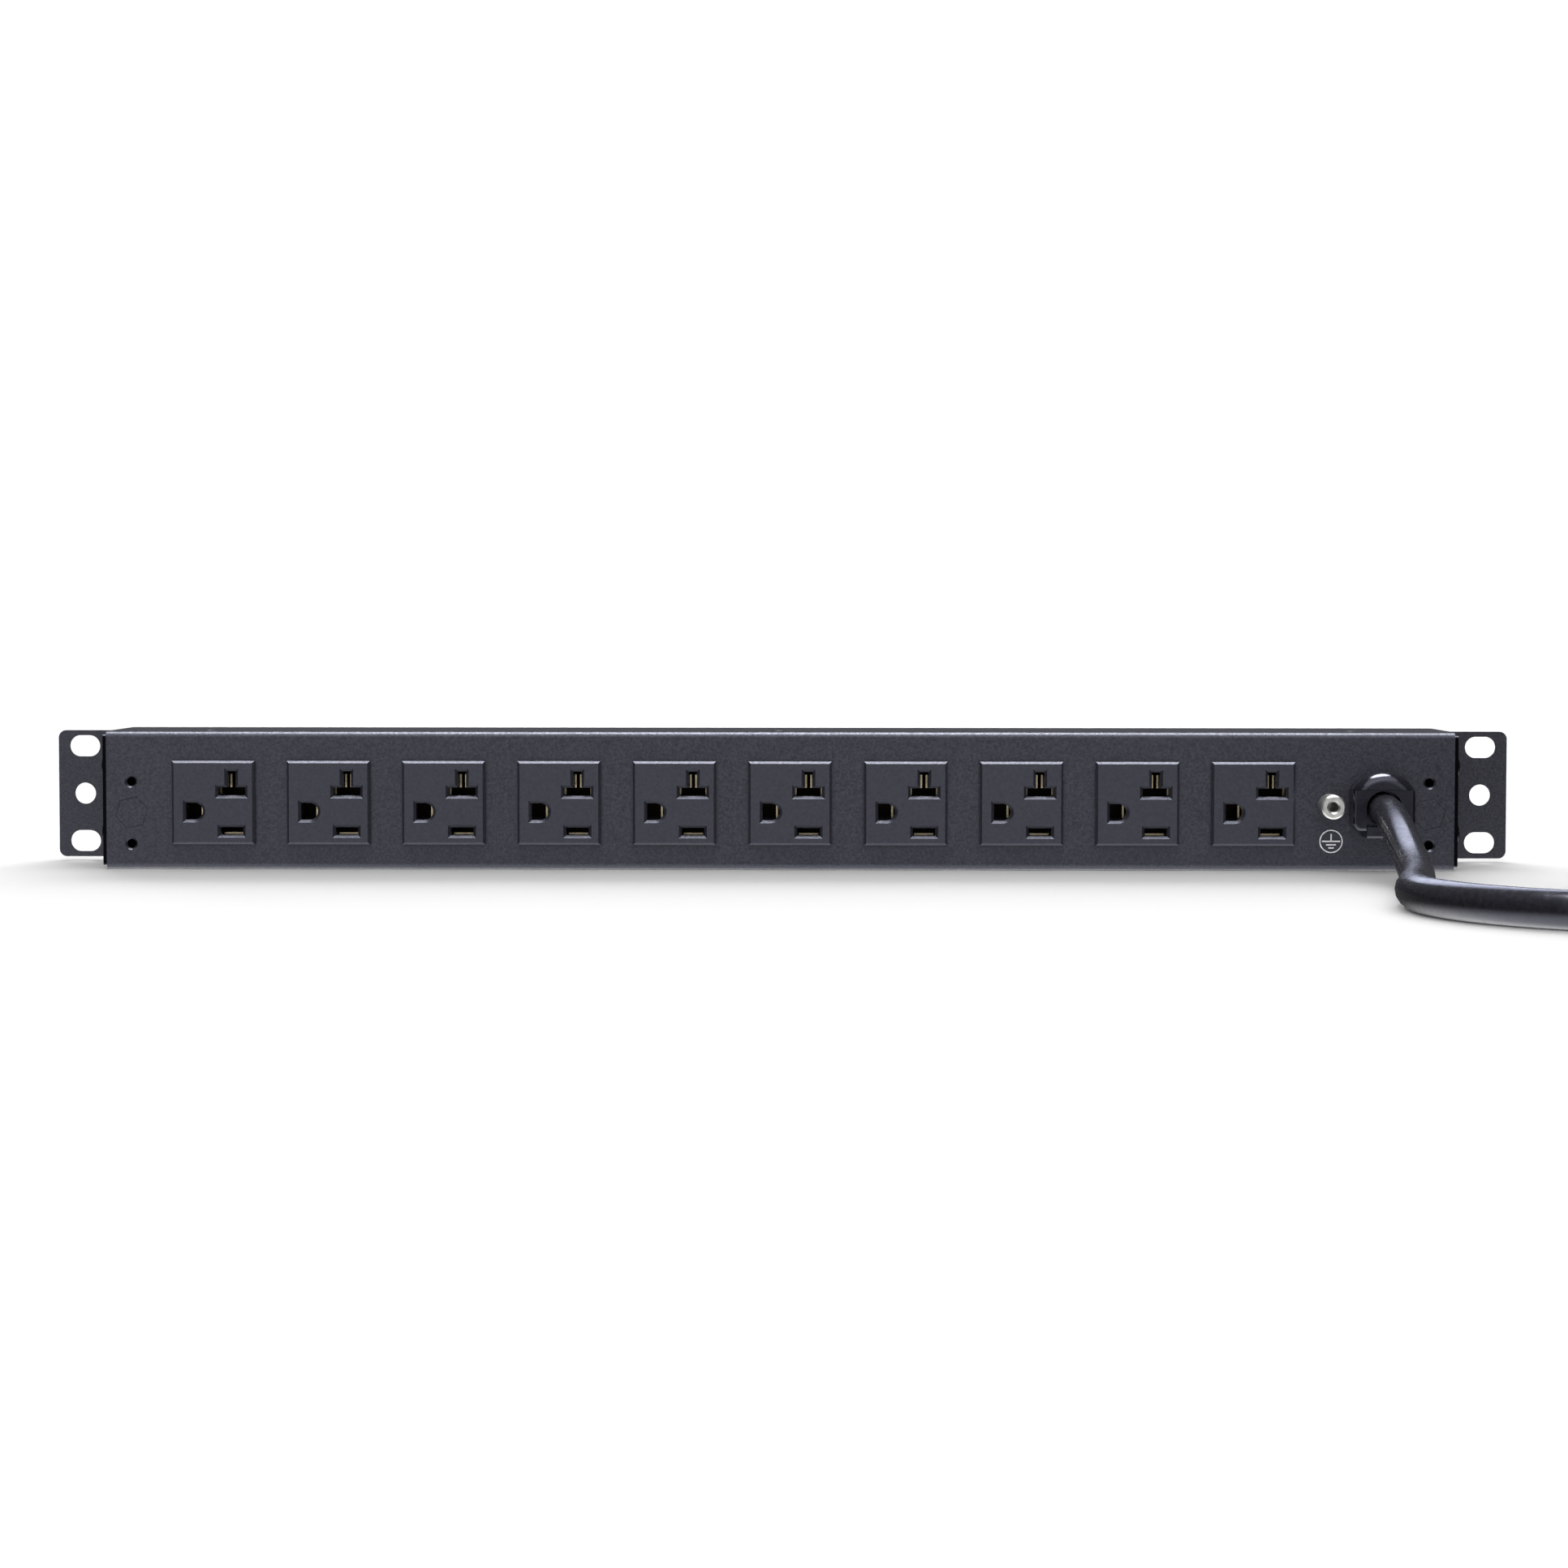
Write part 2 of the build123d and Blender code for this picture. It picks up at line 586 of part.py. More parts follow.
def outside_slot(edge):
    """Whether an edge is on the outside of one of the bushing's wings, clear of the cord's slot."""
    return abs(edge.center().X - BUSHING_X) > BUSHING_SLOT / 2 + 0.5


BUSHING_SEAT = moved(rear(0), BUSHING_X, CORD_Z)
BUSHING_SEAM = BUSHING_SEAM_Z - CORD_Z
BUSHING_TOP = 12.0
WING_BOTTOM = -7.0
JAW_BOTTOM = -9.4
JAW_TOP = -5.9
FLANGE_THICK = 1.2

with BuildPart() as strain_relief_body:
    # wings, open below the cord
    with BuildSketch(BUSHING_SEAT):
        bushing_outline(WING_BOTTOM, BUSHING_SEAM)
        Circle(BUSHING_SLOT / 2, mode=Mode.SUBTRACT)
        with Locations((0, -6.0)):
            Rectangle(BUSHING_SLOT, 12.0, mode=Mode.SUBTRACT)
    extrude(amount=STRAIN_RELIEF_REACH - 0.8)
    low_corners = strain_relief_body.edges().filter_by(Axis.Y).group_by(Axis.Z)[0]
    fillet(low_corners.filter_by(outside_slot), 2.2)
    end_edges = strain_relief_body.edges().group_by(Axis.Y)[0]
    fillet(end_edges.filter_by(outside_slot), 0.9)
    # flange against the panel, and the jaw under the cord
    with BuildSketch(BUSHING_SEAT):
        bushing_outline(JAW_BOTTOM, BUSHING_TOP)
    extrude(amount=FLANGE_THICK)
    with BuildSketch(BUSHING_SEAT):
        bushing_outline(JAW_BOTTOM, JAW_TOP)
        Rectangle(BUSHING_SLOT - 0.8, 30.0, mode=Mode.INTERSECT)
    extrude(amount=8.0)
    fillet(strain_relief_body.faces().sort_by(Axis.Z)[0].edges().filter_by(Axis.X), 0.8)
    # collar through the panel
    with BuildSketch(BUSHING_SEAT):
        Circle(BUSHING_COLLAR / 2)
    extrude(amount=-CORD_INSIDE + 0.5)
    with BuildSketch(BUSHING_SEAT.offset(-SHEET - 0.05)):
        Circle(BUSHING_COLLAR / 2 + 0.8)
        Rectangle(20.0, 9.0, mode=Mode.INTERSECT)
    extrude(amount=-3.0)
    with BuildSketch(moved(rear(0), CORD_X, CORD_Z)):
        Circle(CORD_DIAMETER / 2)
    extrude(amount=20.0, both=True, mode=Mode.SUBTRACT)
keep(strain_relief_body.part, "strain_relief_body")

with BuildPart() as strain_relief_cap:
    with BuildSketch(BUSHING_SEAT.offset(FLANGE_THICK)):
        bushing_outline(BUSHING_SEAM + 0.15, BUSHING_TOP)
    extrude(amount=STRAIN_RELIEF_REACH - FLANGE_THICK)
    dome = strain_relief_cap.edges().filter_by(GeomType.CIRCLE).group_by(Axis.Y)[0]
    fillet(dome, 3.4)
keep(strain_relief_cap.part, "strain_relief_cap")

# ---------------------------------------------------------------- switch and breaker
PIVOT_Y = FRONT_Y

with BuildPart() as switch_body:
    seat = moved(front(0), SWITCH_X, MID_Z)
    with BuildSketch(seat):
        RectangleRounded(SWITCH_BEZEL[0], SWITCH_BEZEL[1], 1.5)
    extrude(amount=2.0)
    chamfer(switch_body.faces().sort_by(Axis.Y)[-1].outer_wire().edges(), 0.5)
    with BuildSketch(seat):
        Rectangle(*SWITCH_BODY)
    extrude(amount=-(SWITCH_DEPTH + SHEET))
    # the well that the rocker swings in
    with BuildSketch(seat.offset(2.0)):
        Rectangle(ROCKER_LENGTH + 1.7, ROCKER_HEIGHT + 0.6)
    extrude(amount=-11.0, mode=Mode.SUBTRACT)
    # bearing holes for the rocker's pins, in the two long walls
    with Locations((SWITCH_X, PIVOT_Y, MID_Z)):
        Cylinder(PIN_RADIUS + PIN_CLEARANCE, ROCKER_HEIGHT + 2.2, mode=Mode.SUBTRACT)
keep(switch_body.part, "switch_body")

with BuildPart() as switch_tabs:
    for x in SWITCH_TAB_X:
        with BuildSketch(moved(front(SHEET + SWITCH_DEPTH), x, MID_Z)):
            Rectangle(0.8, 4.8)
        extrude(amount=-4.8)
keep(switch_tabs.part, "switch_tabs")

# The rocker is drawn level and then turned, so at rest its end towards +X is pressed in.
with BuildPart() as rocker_level:
    with BuildSketch(Plane.XY.offset(MID_Z - ROCKER_HEIGHT / 2)):
        with BuildLine():
            half = ROCKER_LENGTH / 2
            crest = PIVOT_Y + 5.0
            low = PIVOT_Y + 2.8
            keel = PIVOT_Y - 3.2
            ThreePointArc((SWITCH_X - half, crest), (SWITCH_X, low), (SWITCH_X + half, crest))
            Line((SWITCH_X + half, crest), (SWITCH_X + half, PIVOT_Y))
            Line((SWITCH_X + half, PIVOT_Y), (SWITCH_X + 4.0, keel))
            Line((SWITCH_X + 4.0, keel), (SWITCH_X - 4.0, keel))
            Line((SWITCH_X - 4.0, keel), (SWITCH_X - half, PIVOT_Y))
            Line((SWITCH_X - half, PIVOT_Y), (SWITCH_X - half, crest))
        make_face()
    extrude(amount=ROCKER_HEIGHT)
    fillet(rocker_level.edges().filter_by(Axis.Z).group_by(Axis.Y)[-1], 0.8)
    with Locations((SWITCH_X, PIVOT_Y, MID_Z)):
        Cylinder(PIN_RADIUS, ROCKER_HEIGHT + 1.8)

with BuildPart() as rocker:
    pivot = Axis((SWITCH_X, PIVOT_Y, 0), (0, 0, 1))
    add(rocker_level.part.rotate(pivot, -ROCKER_TILT))
keep(rocker.part, "rocker")

with BuildPart() as breaker_body:
    seat = moved(front(SHEET), BREAKER_X, MID_Z)
    with BuildSketch(seat):
        Rectangle(*BREAKER_BODY)
    extrude(amount=-19.0)
    fillet(breaker_body.edges().filter_by(Axis.Y), 1.0)
    with BuildSketch(seat):
        Circle(BREAKER_BUSHING / 2)
    extrude(amount=SHEET + 6.0)
    chamfer(breaker_body.faces().sort_by(Axis.Y)[-1].edges(), 0.5)
    cut_round(seat.offset(SHEET + 6.0), BUTTON_DIAMETER + 0.16, 12.0)
keep(breaker_body.part, "breaker_body")

with BuildPart() as breaker_nut:
    with BuildSketch(moved(front(0), BREAKER_X, MID_Z)):
        RegularPolygon(7.0, 6, major_radius=False)
        Circle(BREAKER_BUSHING / 2 + 0.02, mode=Mode.SUBTRACT)
    extrude(amount=2.4)
keep(breaker_nut.part, "breaker_nut")

with BuildPart() as reset_button:
    with BuildSketch(moved(front(0), BREAKER_X, MID_Z)):
        Circle(BUTTON_DIAMETER / 2)
    extrude(amount=BUTTON_REACH)
    extrude(reset_button.faces().sort_by(Axis.Y)[0], amount=4.0)
    fillet(reset_button.faces().sort_by(Axis.Y)[-1].edges(), 0.6)
keep(reset_button.part, "reset_button")

TAB_DEPTH = 30.0
with BuildPart() as breaker_tabs:
    for side in (-1, 1):
        tab_z = MID_Z + side * BREAKER_BODY[1] / 2
        with BuildSketch(Plane(origin=(BREAKER_X, REAR_Y + TAB_DEPTH, tab_z), z_dir=(0, 0, side))):
            Rectangle(0.8, 6.0)
        extrude(amount=4.6)
keep(breaker_tabs.part, "breaker_tabs")


# ---------------------------------------------------------------- wiring inside the case
def lead(name, points, radius=2.4):
    """An insulated lead along straight runs with rounded corners."""
    route = [(x, REAR_Y + depth, z) for x, depth, z in points]
    with BuildPart() as wire:
        with BuildLine() as path:
            FilletPolyline(*route, radius=radius)
        with BuildSketch(Plane(origin=path.line @ 0, z_dir=path.line % 0)):
            Circle(LEAD_DIAMETER / 2)
        sweep()
    keep(wire.part, name)


BUS_MID = BUS_DEPTH + BUS_THICK / 2
BREAKER_TOP = MID_Z + BREAKER_BODY[1] / 2 + 2.4
BREAKER_LOW = MID_Z - BREAKER_BODY[1] / 2 - 2.4
TAB_LOW = MID_Z - 2.4
LEAD_START = CORD_INSIDE + 0.1
LEAD_TURN = 15.6
LINE_BUS_Z = OUTLET_Z + LINE_Z
NEUTRAL_BUS_Z = OUTLET_Z + NEUTRAL_Z
GROUND_BUS_Z = OUTLET_Z + GROUND_Z
lead("line_lead", [(CORD_X + 2.3, LEAD_START, CORD_Z + 1.4), (CORD_X + 2.3, LEAD_TURN, CORD_Z + 1.4),
                   (CORD_X + 2.3, LEAD_TURN, BREAKER_TOP), (172.0, LEAD_TURN, BREAKER_TOP),
                   (164.0, TAB_DEPTH, BREAKER_TOP), (BREAKER_X + 0.4, TAB_DEPTH, BREAKER_TOP)], 1.9)
lead("switch_lead", [(BREAKER_X + 0.4, TAB_DEPTH, BREAKER_LOW), (SWITCH_TAB_X[0], TAB_DEPTH, BREAKER_LOW),
                     (SWITCH_TAB_X[0], 20.4, BREAKER_LOW + 2), (SWITCH_TAB_X[0], 20.4, TAB_LOW)])
lead("line_jumper", [(SWITCH_TAB_X[1], 20.4, TAB_LOW), (SWITCH_TAB_X[1], 20.4, LINE_BUS_Z + 1),
                     (180.0, 14.6, LINE_BUS_Z), (172.6, 14.6, LINE_BUS_Z),
                     (168.8, BUS_MID, LINE_BUS_Z), (BUS_END_X, BUS_MID, LINE_BUS_Z)], 1.9)
lead("neutral_lead", [(CORD_X - 2.3, LEAD_START, CORD_Z + 1.4), (CORD_X - 2.3, LEAD_TURN, CORD_Z + 1.4),
                      (180.0, LEAD_TURN, 29.6), (171.0, BUS_MID, NEUTRAL_BUS_Z),
                      (BUS_END_X, BUS_MID, NEUTRAL_BUS_Z)], 1.9)
lead("ground_lead", [(CORD_X, LEAD_START, CORD_Z - 2.6), (CORD_X, LEAD_TURN, CORD_Z - 2.6),
                     (188.0, LEAD_TURN, 7.0), (178.5, LEAD_TURN, 7.0), (STUD_X, 7.4, 8.0),
                     (STUD_X, 7.4, STUD_Z - 5.0)], 1.9)
lead("ground_jumper", [(STUD_X - 5.0, 7.4, STUD_Z), (STUD_X - 8.0, 7.4, STUD_Z),
                       (168.6, BUS_MID, GROUND_BUS_Z), (BUS_END_X, BUS_MID, GROUND_BUS_Z)], 1.9)

# ---------------------------------------------------------------- cord, coil and plug
# The cord leaves the bushing, comes down to the surface, swings to +X and goes into the coil.
CORD_ROUTE = [(192.4, -9.7, 20.4), (192.5, -34.0, 20.6), (191.4, -64.0, 14.9), (189.8, -99.7, 6.2),
              (184.6, -134.7, 5.2), (175.2, -172.5, 5.2), (183.2, -205.0, 5.2), (205.9, -230.3, 5.2),
              (238.3, -240.8, 5.2), (282.0, -241.0, 5.2), (323.4, -226.0, 5.2), (349.7, -204.2, 5.2)]
# From the top of the coil the cord comes down again to the plug, which lies beside it.
TAIL_ROUTE = [(371.4, -135.3, 36.4), (365.2, -114.1, 36.0), (353.4, -93.3, 28.0), (339.8, -71.3, 18.0),
              (329.6, -54.6, 15.2)]
COIL_X = 306.5
COIL_Y = -152.7
COIL_RADIUS = 62.0
COIL_RINGS = 2
COIL_LAYERS = 4


def corner_radii(points):
    """The largest radius that each corner's two runs allow, from 0.45 of the shorter run."""
    radii = []
    for before, here, after in zip(points, points[1:], points[2:]):
        into = Vector(*here) - Vector(*before)
        out = Vector(*after) - Vector(*here)
        turn = math.radians(into.get_angle(out))
        radii.append(0.45 * min(into.length, out.length) / math.tan(turn / 2))
    return radii


def cord_tube(name, points):
    """The cord along a route of straight runs joined by tangent arcs."""
    radii = corner_radii(points)
    with BuildPart() as tube:
        with BuildLine() as path:
            FilletPolyline(*points, radius=radii)
        with BuildSketch(Plane(origin=path.line @ 0, z_dir=path.line % 0)):
            Circle(CORD_DIAMETER / 2)
        sweep()
    length = sum(edge.length for edge in path.edges())
    expected = math.pi * CORD_DIAMETER ** 2 / 4 * length
    print(name, "length", round(length, 1), "radii", [round(radius) for radius in radii],
          "volume ratio", round(tube.part.volume / expected, 4))
    keep(tube.part, name)
    return length


lead_length = cord_tube("power_cord", CORD_ROUTE)
tail_length = cord_tube("cord_tail", TAIL_ROUTE)

coil_width = COIL_RINGS * CORD_DIAMETER
coil_height = COIL_LAYERS * CORD_DIAMETER
with BuildPart() as cord_coil:
    with BuildSketch(Plane.XZ.offset(-COIL_Y)):
        with Locations((COIL_X + COIL_RADIUS, coil_height / 2)):
            RectangleRounded(coil_width, coil_height, 3.0)
    revolve(axis=Axis((COIL_X, COIL_Y, 0), (0, 0, 1)), revolution_arc=360)
keep(cord_coil.part, "cord_coil")
turns = (CORD_LENGTH - lead_length - tail_length) / (2 * math.pi * COIL_RADIUS)
print("coil turns", round(turns, 3))

TIE_ANGLE = 225.0
TIE_THICK = 1.2
TIE_WIDTH = 14.0
tie_out = (math.cos(math.radians(TIE_ANGLE)), math.sin(math.radians(TIE_ANGLE)), 0)
tie_along = (tie_out[1], -tie_out[0], 0)
tie_centre = (COIL_X + COIL_RADIUS * tie_out[0], COIL_Y + COIL_RADIUS * tie_out[1], 0)
with BuildPart() as cord_tie:
    with BuildSketch(Plane(origin=tie_centre, x_dir=tie_out, z_dir=tie_along)):
        strap_height = coil_height + TIE_THICK
        with Locations((0, strap_height / 2)):
            RectangleRounded(coil_width + 2 * TIE_THICK, strap_height, 3.5)
            RectangleRounded(coil_width, coil_height - 0.4, 2.5, mode=Mode.SUBTRACT)
    extrude(amount=TIE_WIDTH / 2, both=True)
keep(cord_tie.part, "cord_tie")

PLUG_HEADING = 121.5
PLUG_GRIP = 22.0
PLUG_BODY = 34.0
PLUG_WIDTH = 33.0
PLUG_HEIGHT = 30.4
BLADE_Y = -4.0
plug_dir = (math.cos(math.radians(PLUG_HEADING)), math.sin(math.radians(PLUG_HEADING)), 0)
plug_side = (-plug_dir[1], plug_dir[0], 0)
plug_start = Plane(origin=TAIL_ROUTE[-1], x_dir=plug_side, z_dir=plug_dir).offset(-3.0)
plug_face = plug_start.offset(PLUG_GRIP + PLUG_BODY)

with BuildPart() as plug_body:
    with BuildSketch(plug_start):
        Circle(7.2)
    with BuildSketch(plug_start.offset(PLUG_GRIP)):
        Circle(9.0)
    loft()
    with BuildSketch(plug_start.offset(PLUG_GRIP)):
        RectangleRounded(24.0, 22.0, 8.0)
    with BuildSketch(plug_start.offset(PLUG_GRIP + 14.0)):
        RectangleRounded(PLUG_WIDTH, PLUG_HEIGHT, 9.0)
    loft()
    with BuildSketch(plug_start.offset(PLUG_GRIP + 14.0)):
        RectangleRounded(PLUG_WIDTH, PLUG_HEIGHT, 9.0)
    extrude(amount=PLUG_BODY - 14.0)
keep(plug_body.part, "plug_body")

with BuildPart() as plug_blades:
    with BuildSketch(plug_face):
        with Locations((6.35, BLADE_Y)):
            Rectangle(1.5, 6.35)
        with Locations((-6.35, BLADE_Y)):
            Rectangle(6.35, 1.5)
    extrude(amount=16.0)
keep(plug_blades.part, "plug_blades")

with BuildPart() as plug_ground_pin:
    with BuildSketch(plug_face):
        with Locations((0, BLADE_Y + 11.9)):
            Circle(2.38)
    extrude(amount=20.0)
    fillet(plug_ground_pin.edges().filter_by(GeomType.CIRCLE).sort_by(
        lambda rim: plug_face.to_local_coords(rim.center()).Z)[-1], 1.6)
keep(plug_ground_pin.part, "plug_ground_pin")

print(len(written), "nodes")
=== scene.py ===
import math

import bmesh
import bpy
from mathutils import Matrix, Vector


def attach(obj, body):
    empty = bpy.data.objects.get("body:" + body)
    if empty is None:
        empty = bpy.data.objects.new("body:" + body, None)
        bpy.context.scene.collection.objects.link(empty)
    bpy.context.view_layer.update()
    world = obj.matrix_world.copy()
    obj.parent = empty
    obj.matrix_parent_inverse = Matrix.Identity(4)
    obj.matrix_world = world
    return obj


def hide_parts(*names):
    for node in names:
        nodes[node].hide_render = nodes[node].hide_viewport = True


# The looks of a one-unit rack power strip: finishes for its CAD parts, its mains cord with the
# coil, tie and plug, and a plain white studio. All lengths are in metres, in the frame's axes:
# the sockets and the cord are on the -Y side, the rocker and the breaker on the +Y side.

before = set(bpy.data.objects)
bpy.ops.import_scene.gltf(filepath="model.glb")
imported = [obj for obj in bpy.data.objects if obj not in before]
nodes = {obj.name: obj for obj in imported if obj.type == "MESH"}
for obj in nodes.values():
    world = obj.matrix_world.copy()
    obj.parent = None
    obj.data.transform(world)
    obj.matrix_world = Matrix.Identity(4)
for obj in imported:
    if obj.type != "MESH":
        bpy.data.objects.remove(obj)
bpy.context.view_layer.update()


# ---------------------------------------------------------------- camera
FOCAL_LENGTH = 75.39
SENSOR_WIDTH = 36.0
CAMERA_REACH = 100.0
CAMERA_PLACE = (0.0162, -1.07215, 0.07695)
LOOK_DOWN = 0.0469
LOOK_LEFT = 0.0138
CAMERA_ROLL = -0.0007


def make_camera():
    """A long lens a metre behind the strip, a little above it and looking slightly down."""
    lens = bpy.data.cameras.new("camera")
    lens.lens = FOCAL_LENGTH
    lens.sensor_width = SENSOR_WIDTH
    lens.clip_end = CAMERA_REACH
    camera = bpy.data.objects.new("camera", lens)
    camera.location = CAMERA_PLACE
    camera.rotation_euler = (math.pi / 2 - LOOK_DOWN, CAMERA_ROLL, LOOK_LEFT)
    bpy.context.collection.objects.link(camera)
    bpy.context.scene.camera = camera


make_camera()

# ---------------------------------------------------------------- cord
CORD_DIAMETER = 0.0104
CORD_RADIUS = CORD_DIAMETER / 2
CORD_STEPS = 8
CORD_ROUNDING = 6
CORD_ROUTE = [
    (0.1924, -0.0097, 0.0204), (0.1925, -0.0340, 0.0206), (0.1914, -0.0640, 0.0149),
    (0.1898, -0.0997, 0.0062), (0.1846, -0.1347, 0.0052), (0.1752, -0.1725, 0.0052),
    (0.1832, -0.2050, 0.0052), (0.2059, -0.2303, 0.0052), (0.2383, -0.2408, 0.0052),
    (0.2820, -0.2410, 0.0052), (0.3234, -0.2260, 0.0052), (0.3497, -0.2042, 0.0052),
]
TAIL_ROUTE = [
    (0.3714, -0.1353, 0.0364), (0.3652, -0.1141, 0.0360), (0.3534, -0.0933, 0.0280),
    (0.3398, -0.0713, 0.0180), (0.3296, -0.0546, 0.0152),
]

# The coil is wound counter-clockwise from its start, in two rings and four layers. Where the
# first and the last turn overlap there are nine strands, so one strand lies on the floor inside.
COIL_X = 0.3065
COIL_Y = -0.1527
COIL_START = -50.0
COIL_SWEEP = 8 * 360.0 + 65.0
COIL_STEPS = 164
OUTER = 0.0672
INNER = OUTER - CORD_DIAMETER
CORE = INNER - CORD_DIAMETER
COIL_SLOTS = [(OUTER, 0), (INNER, 0), (CORE, 0), (INNER, 1), (OUTER, 1), (OUTER, 2), (INNER, 2),
              (INNER, 3), (OUTER, 3)]
BOTTOM_STEP = 285.0
UPPER_STEP = 177.5
STEP_LAG = 22.5
STEP_SPAN = 75.0

TIE_ANGLE = 225.0
TIE_THICK = 0.0012
TIE_WIDTH = 0.014
TIE_LIFT_SPAN = 26.0


def eased(share):
    """A share from 0 to 1 that starts and stops gently."""
    share = min(1.0, max(0.0, share))
    return (1 - math.cos(math.pi * share)) / 2


def from_slot(here, there, share):
    """A place part way between two slots. A step both outward and up rolls over the turn below."""
    across = there[0] - here[0]
    up = there[1] - here[1]
    if across and up:
        roll = share * math.pi / 2
        return here[0] + across * (1 - math.cos(roll)), here[1] + up * math.sin(roll)
    return here[0] + across * share, here[1] + up * share


def coil_place(sweep):
    """The radius and layer of the coil's cord after it has swept this many degrees."""
    place = COIL_SLOTS[0]
    for number, there in enumerate(COIL_SLOTS[1:]):
        within_turn = BOTTOM_STEP if number < 2 else UPPER_STEP - STEP_LAG * (number - 2)
        share = eased((sweep - 360.0 * number - within_turn) / STEP_SPAN)
        if share > 0:
            place = from_slot(COIL_SLOTS[number], there, share)
    return place


def coil_points():
    """Control points of the coil, set out a little so that the spline has the true radius."""
    step = COIL_SWEEP / COIL_STEPS
    inset = 0.75 + 0.25 * math.cos(math.radians(step))
    points = []
    for number in range(1, COIL_STEPS):
        angle = COIL_START + number * step
        radius, layer = coil_place(number * step)
        from_tie = (angle - TIE_ANGLE + 180.0) % 360.0 - 180.0
        lift = TIE_THICK * math.exp(-(from_tie / TIE_LIFT_SPAN) ** 2)
        turn = math.radians(angle)
        points.append((COIL_X + radius / inset * math.cos(turn),
                       COIL_Y + radius / inset * math.sin(turn),
                       CORD_RADIUS + layer * CORD_DIAMETER + lift))
    return points


def make_cord():
    """The mains cord from inside the strain relief to inside the plug: its skin and centreline."""
    line = bpy.data.curves.new("cord_line", "CURVE")
    line.dimensions = "3D"
    line.resolution_u = CORD_STEPS
    spline = line.splines.new("NURBS")
    route = CORD_ROUTE + coil_points() + TAIL_ROUTE
    spline.points.add(len(route) - 1)
    for point, place in zip(spline.points, route):
        point.co = (*place, 1.0)
    spline.order_u = 3
    spline.use_endpoint_u = True
    guide = bpy.data.objects.new("cord_line", line)
    centreline = [vertex.co.copy() for vertex in bpy.data.meshes.new_from_object(guide).vertices]
    line.bevel_depth = CORD_RADIUS
    line.bevel_resolution = CORD_ROUNDING
    line.use_fill_caps = True
    cord = bpy.data.objects.new("mains_cord", bpy.data.meshes.new_from_object(guide))
    bpy.context.collection.objects.link(cord)
    bpy.data.objects.remove(guide)
    return cord, centreline


# ---------------------------------------------------------------- mesh helpers
def link_mesh(name, bm):
    """Make a smooth object from a finished bmesh."""
    bmesh.ops.recalc_face_normals(bm, faces=bm.faces)
    mesh = bpy.data.meshes.new(name)
    bm.to_mesh(mesh)
    bm.free()
    for face in mesh.polygons:
        face.use_smooth = True
    piece = bpy.data.objects.new(name, mesh)
    bpy.context.collection.objects.link(piece)
    return piece


def loft(name, rings, closed=False):
    """A skin over rings of the same number of points, capped at both ends unless it is closed."""
    bm = bmesh.new()
    rows = [[bm.verts.new(point) for point in ring] for ring in rings]
    pairs = list(zip(rows, rows[1:]))
    if closed:
        pairs.append((rows[-1], rows[0]))
    for row, following in pairs:
        for number in range(len(row)):
            after = (number + 1) % len(row)
            bm.faces.new((row[number], row[after], following[after], following[number]))
    if not closed:
        bm.faces.new(rows[0])
        bm.faces.new(rows[-1])
    return link_mesh(name, bm)


def subdivide(piece, levels):
    """Round a piece off with a subdivision surface."""
    modifier = piece.modifiers.new("rounding", "SUBSURF")
    modifier.levels = levels
    modifier.render_levels = levels


# ---------------------------------------------------------------- plug
# The profiles run from the cord's end to the blades. Shares are of a rib's pitch or of the body.
PLUG_HEADING = math.radians(121.5)
PLUG_LAP = 0.003
PLUG_GRIP = 0.022
PLUG_BODY = 0.034
PLUG_HALF_WIDTH = 0.0165
PLUG_HALF_HEIGHT = 0.0152
PLUG_SQUARENESS = 3.4
PLUG_SIDES = 48
GRIP_RADIUS = 0.0071
GRIP_FLARE = 0.0018
RIB_COUNT = 5
RIB_DEPTH = 0.0011
RIB_PROFILE = ((0.0, RIB_DEPTH), (0.08, 0.0), (0.58, 0.0), (0.66, RIB_DEPTH), (0.94, RIB_DEPTH))
SHOULDER_PROFILE = ((0.0, 0.0112, 0.0104, 2.3), (0.02, 0.0118, 0.0109, 2.6),
                    (0.2, 0.0132, 0.0124, 2.9), (0.3, 0.0146, 0.0136, 3.1),
                    (0.38, 0.0160, 0.0147, 3.3))
GROOVE_COUNT = 4
GROOVE_START = 0.44
GROOVE_PITCH = 0.11
GROOVE_PINCH = 0.055
GROOVE_PROFILE = ((0.0, 0.0), (0.0006, GROOVE_PINCH), (0.0020, GROOVE_PINCH), (0.0026, 0.0))
FACE_PROFILE = ((0.0028, 0.0), (0.0008, 0.0), (0.0002, 0.0004), (0.0, 0.0011), (0.0, 0.0022))


def plug_ring(along, half_width, half_height, squareness, pinch=0.0):
    """One section of the plug, across its heading: an ellipse at a squareness of 2, and nearer to
    a rectangle above that. A pinch hollows its two sides."""
    heading = Vector((math.cos(PLUG_HEADING), math.sin(PLUG_HEADING), 0))
    across = Vector((-heading.y, heading.x, 0))
    centre = Vector(TAIL_ROUTE[-1]) + heading * (along - PLUG_LAP)
    ring = []
    for number in range(PLUG_SIDES):
        turn = 2 * math.pi * number / PLUG_SIDES
        cosine = math.cos(turn)
        sine = math.sin(turn)
        width = math.copysign(abs(cosine) ** (2 / squareness), cosine) * half_width
        height = math.copysign(abs(sine) ** (2 / squareness), sine) * half_height
        width *= 1 - pinch * abs(cosine) ** 3
        ring.append(centre + across * width + Vector((0, 0, height)))
    return ring


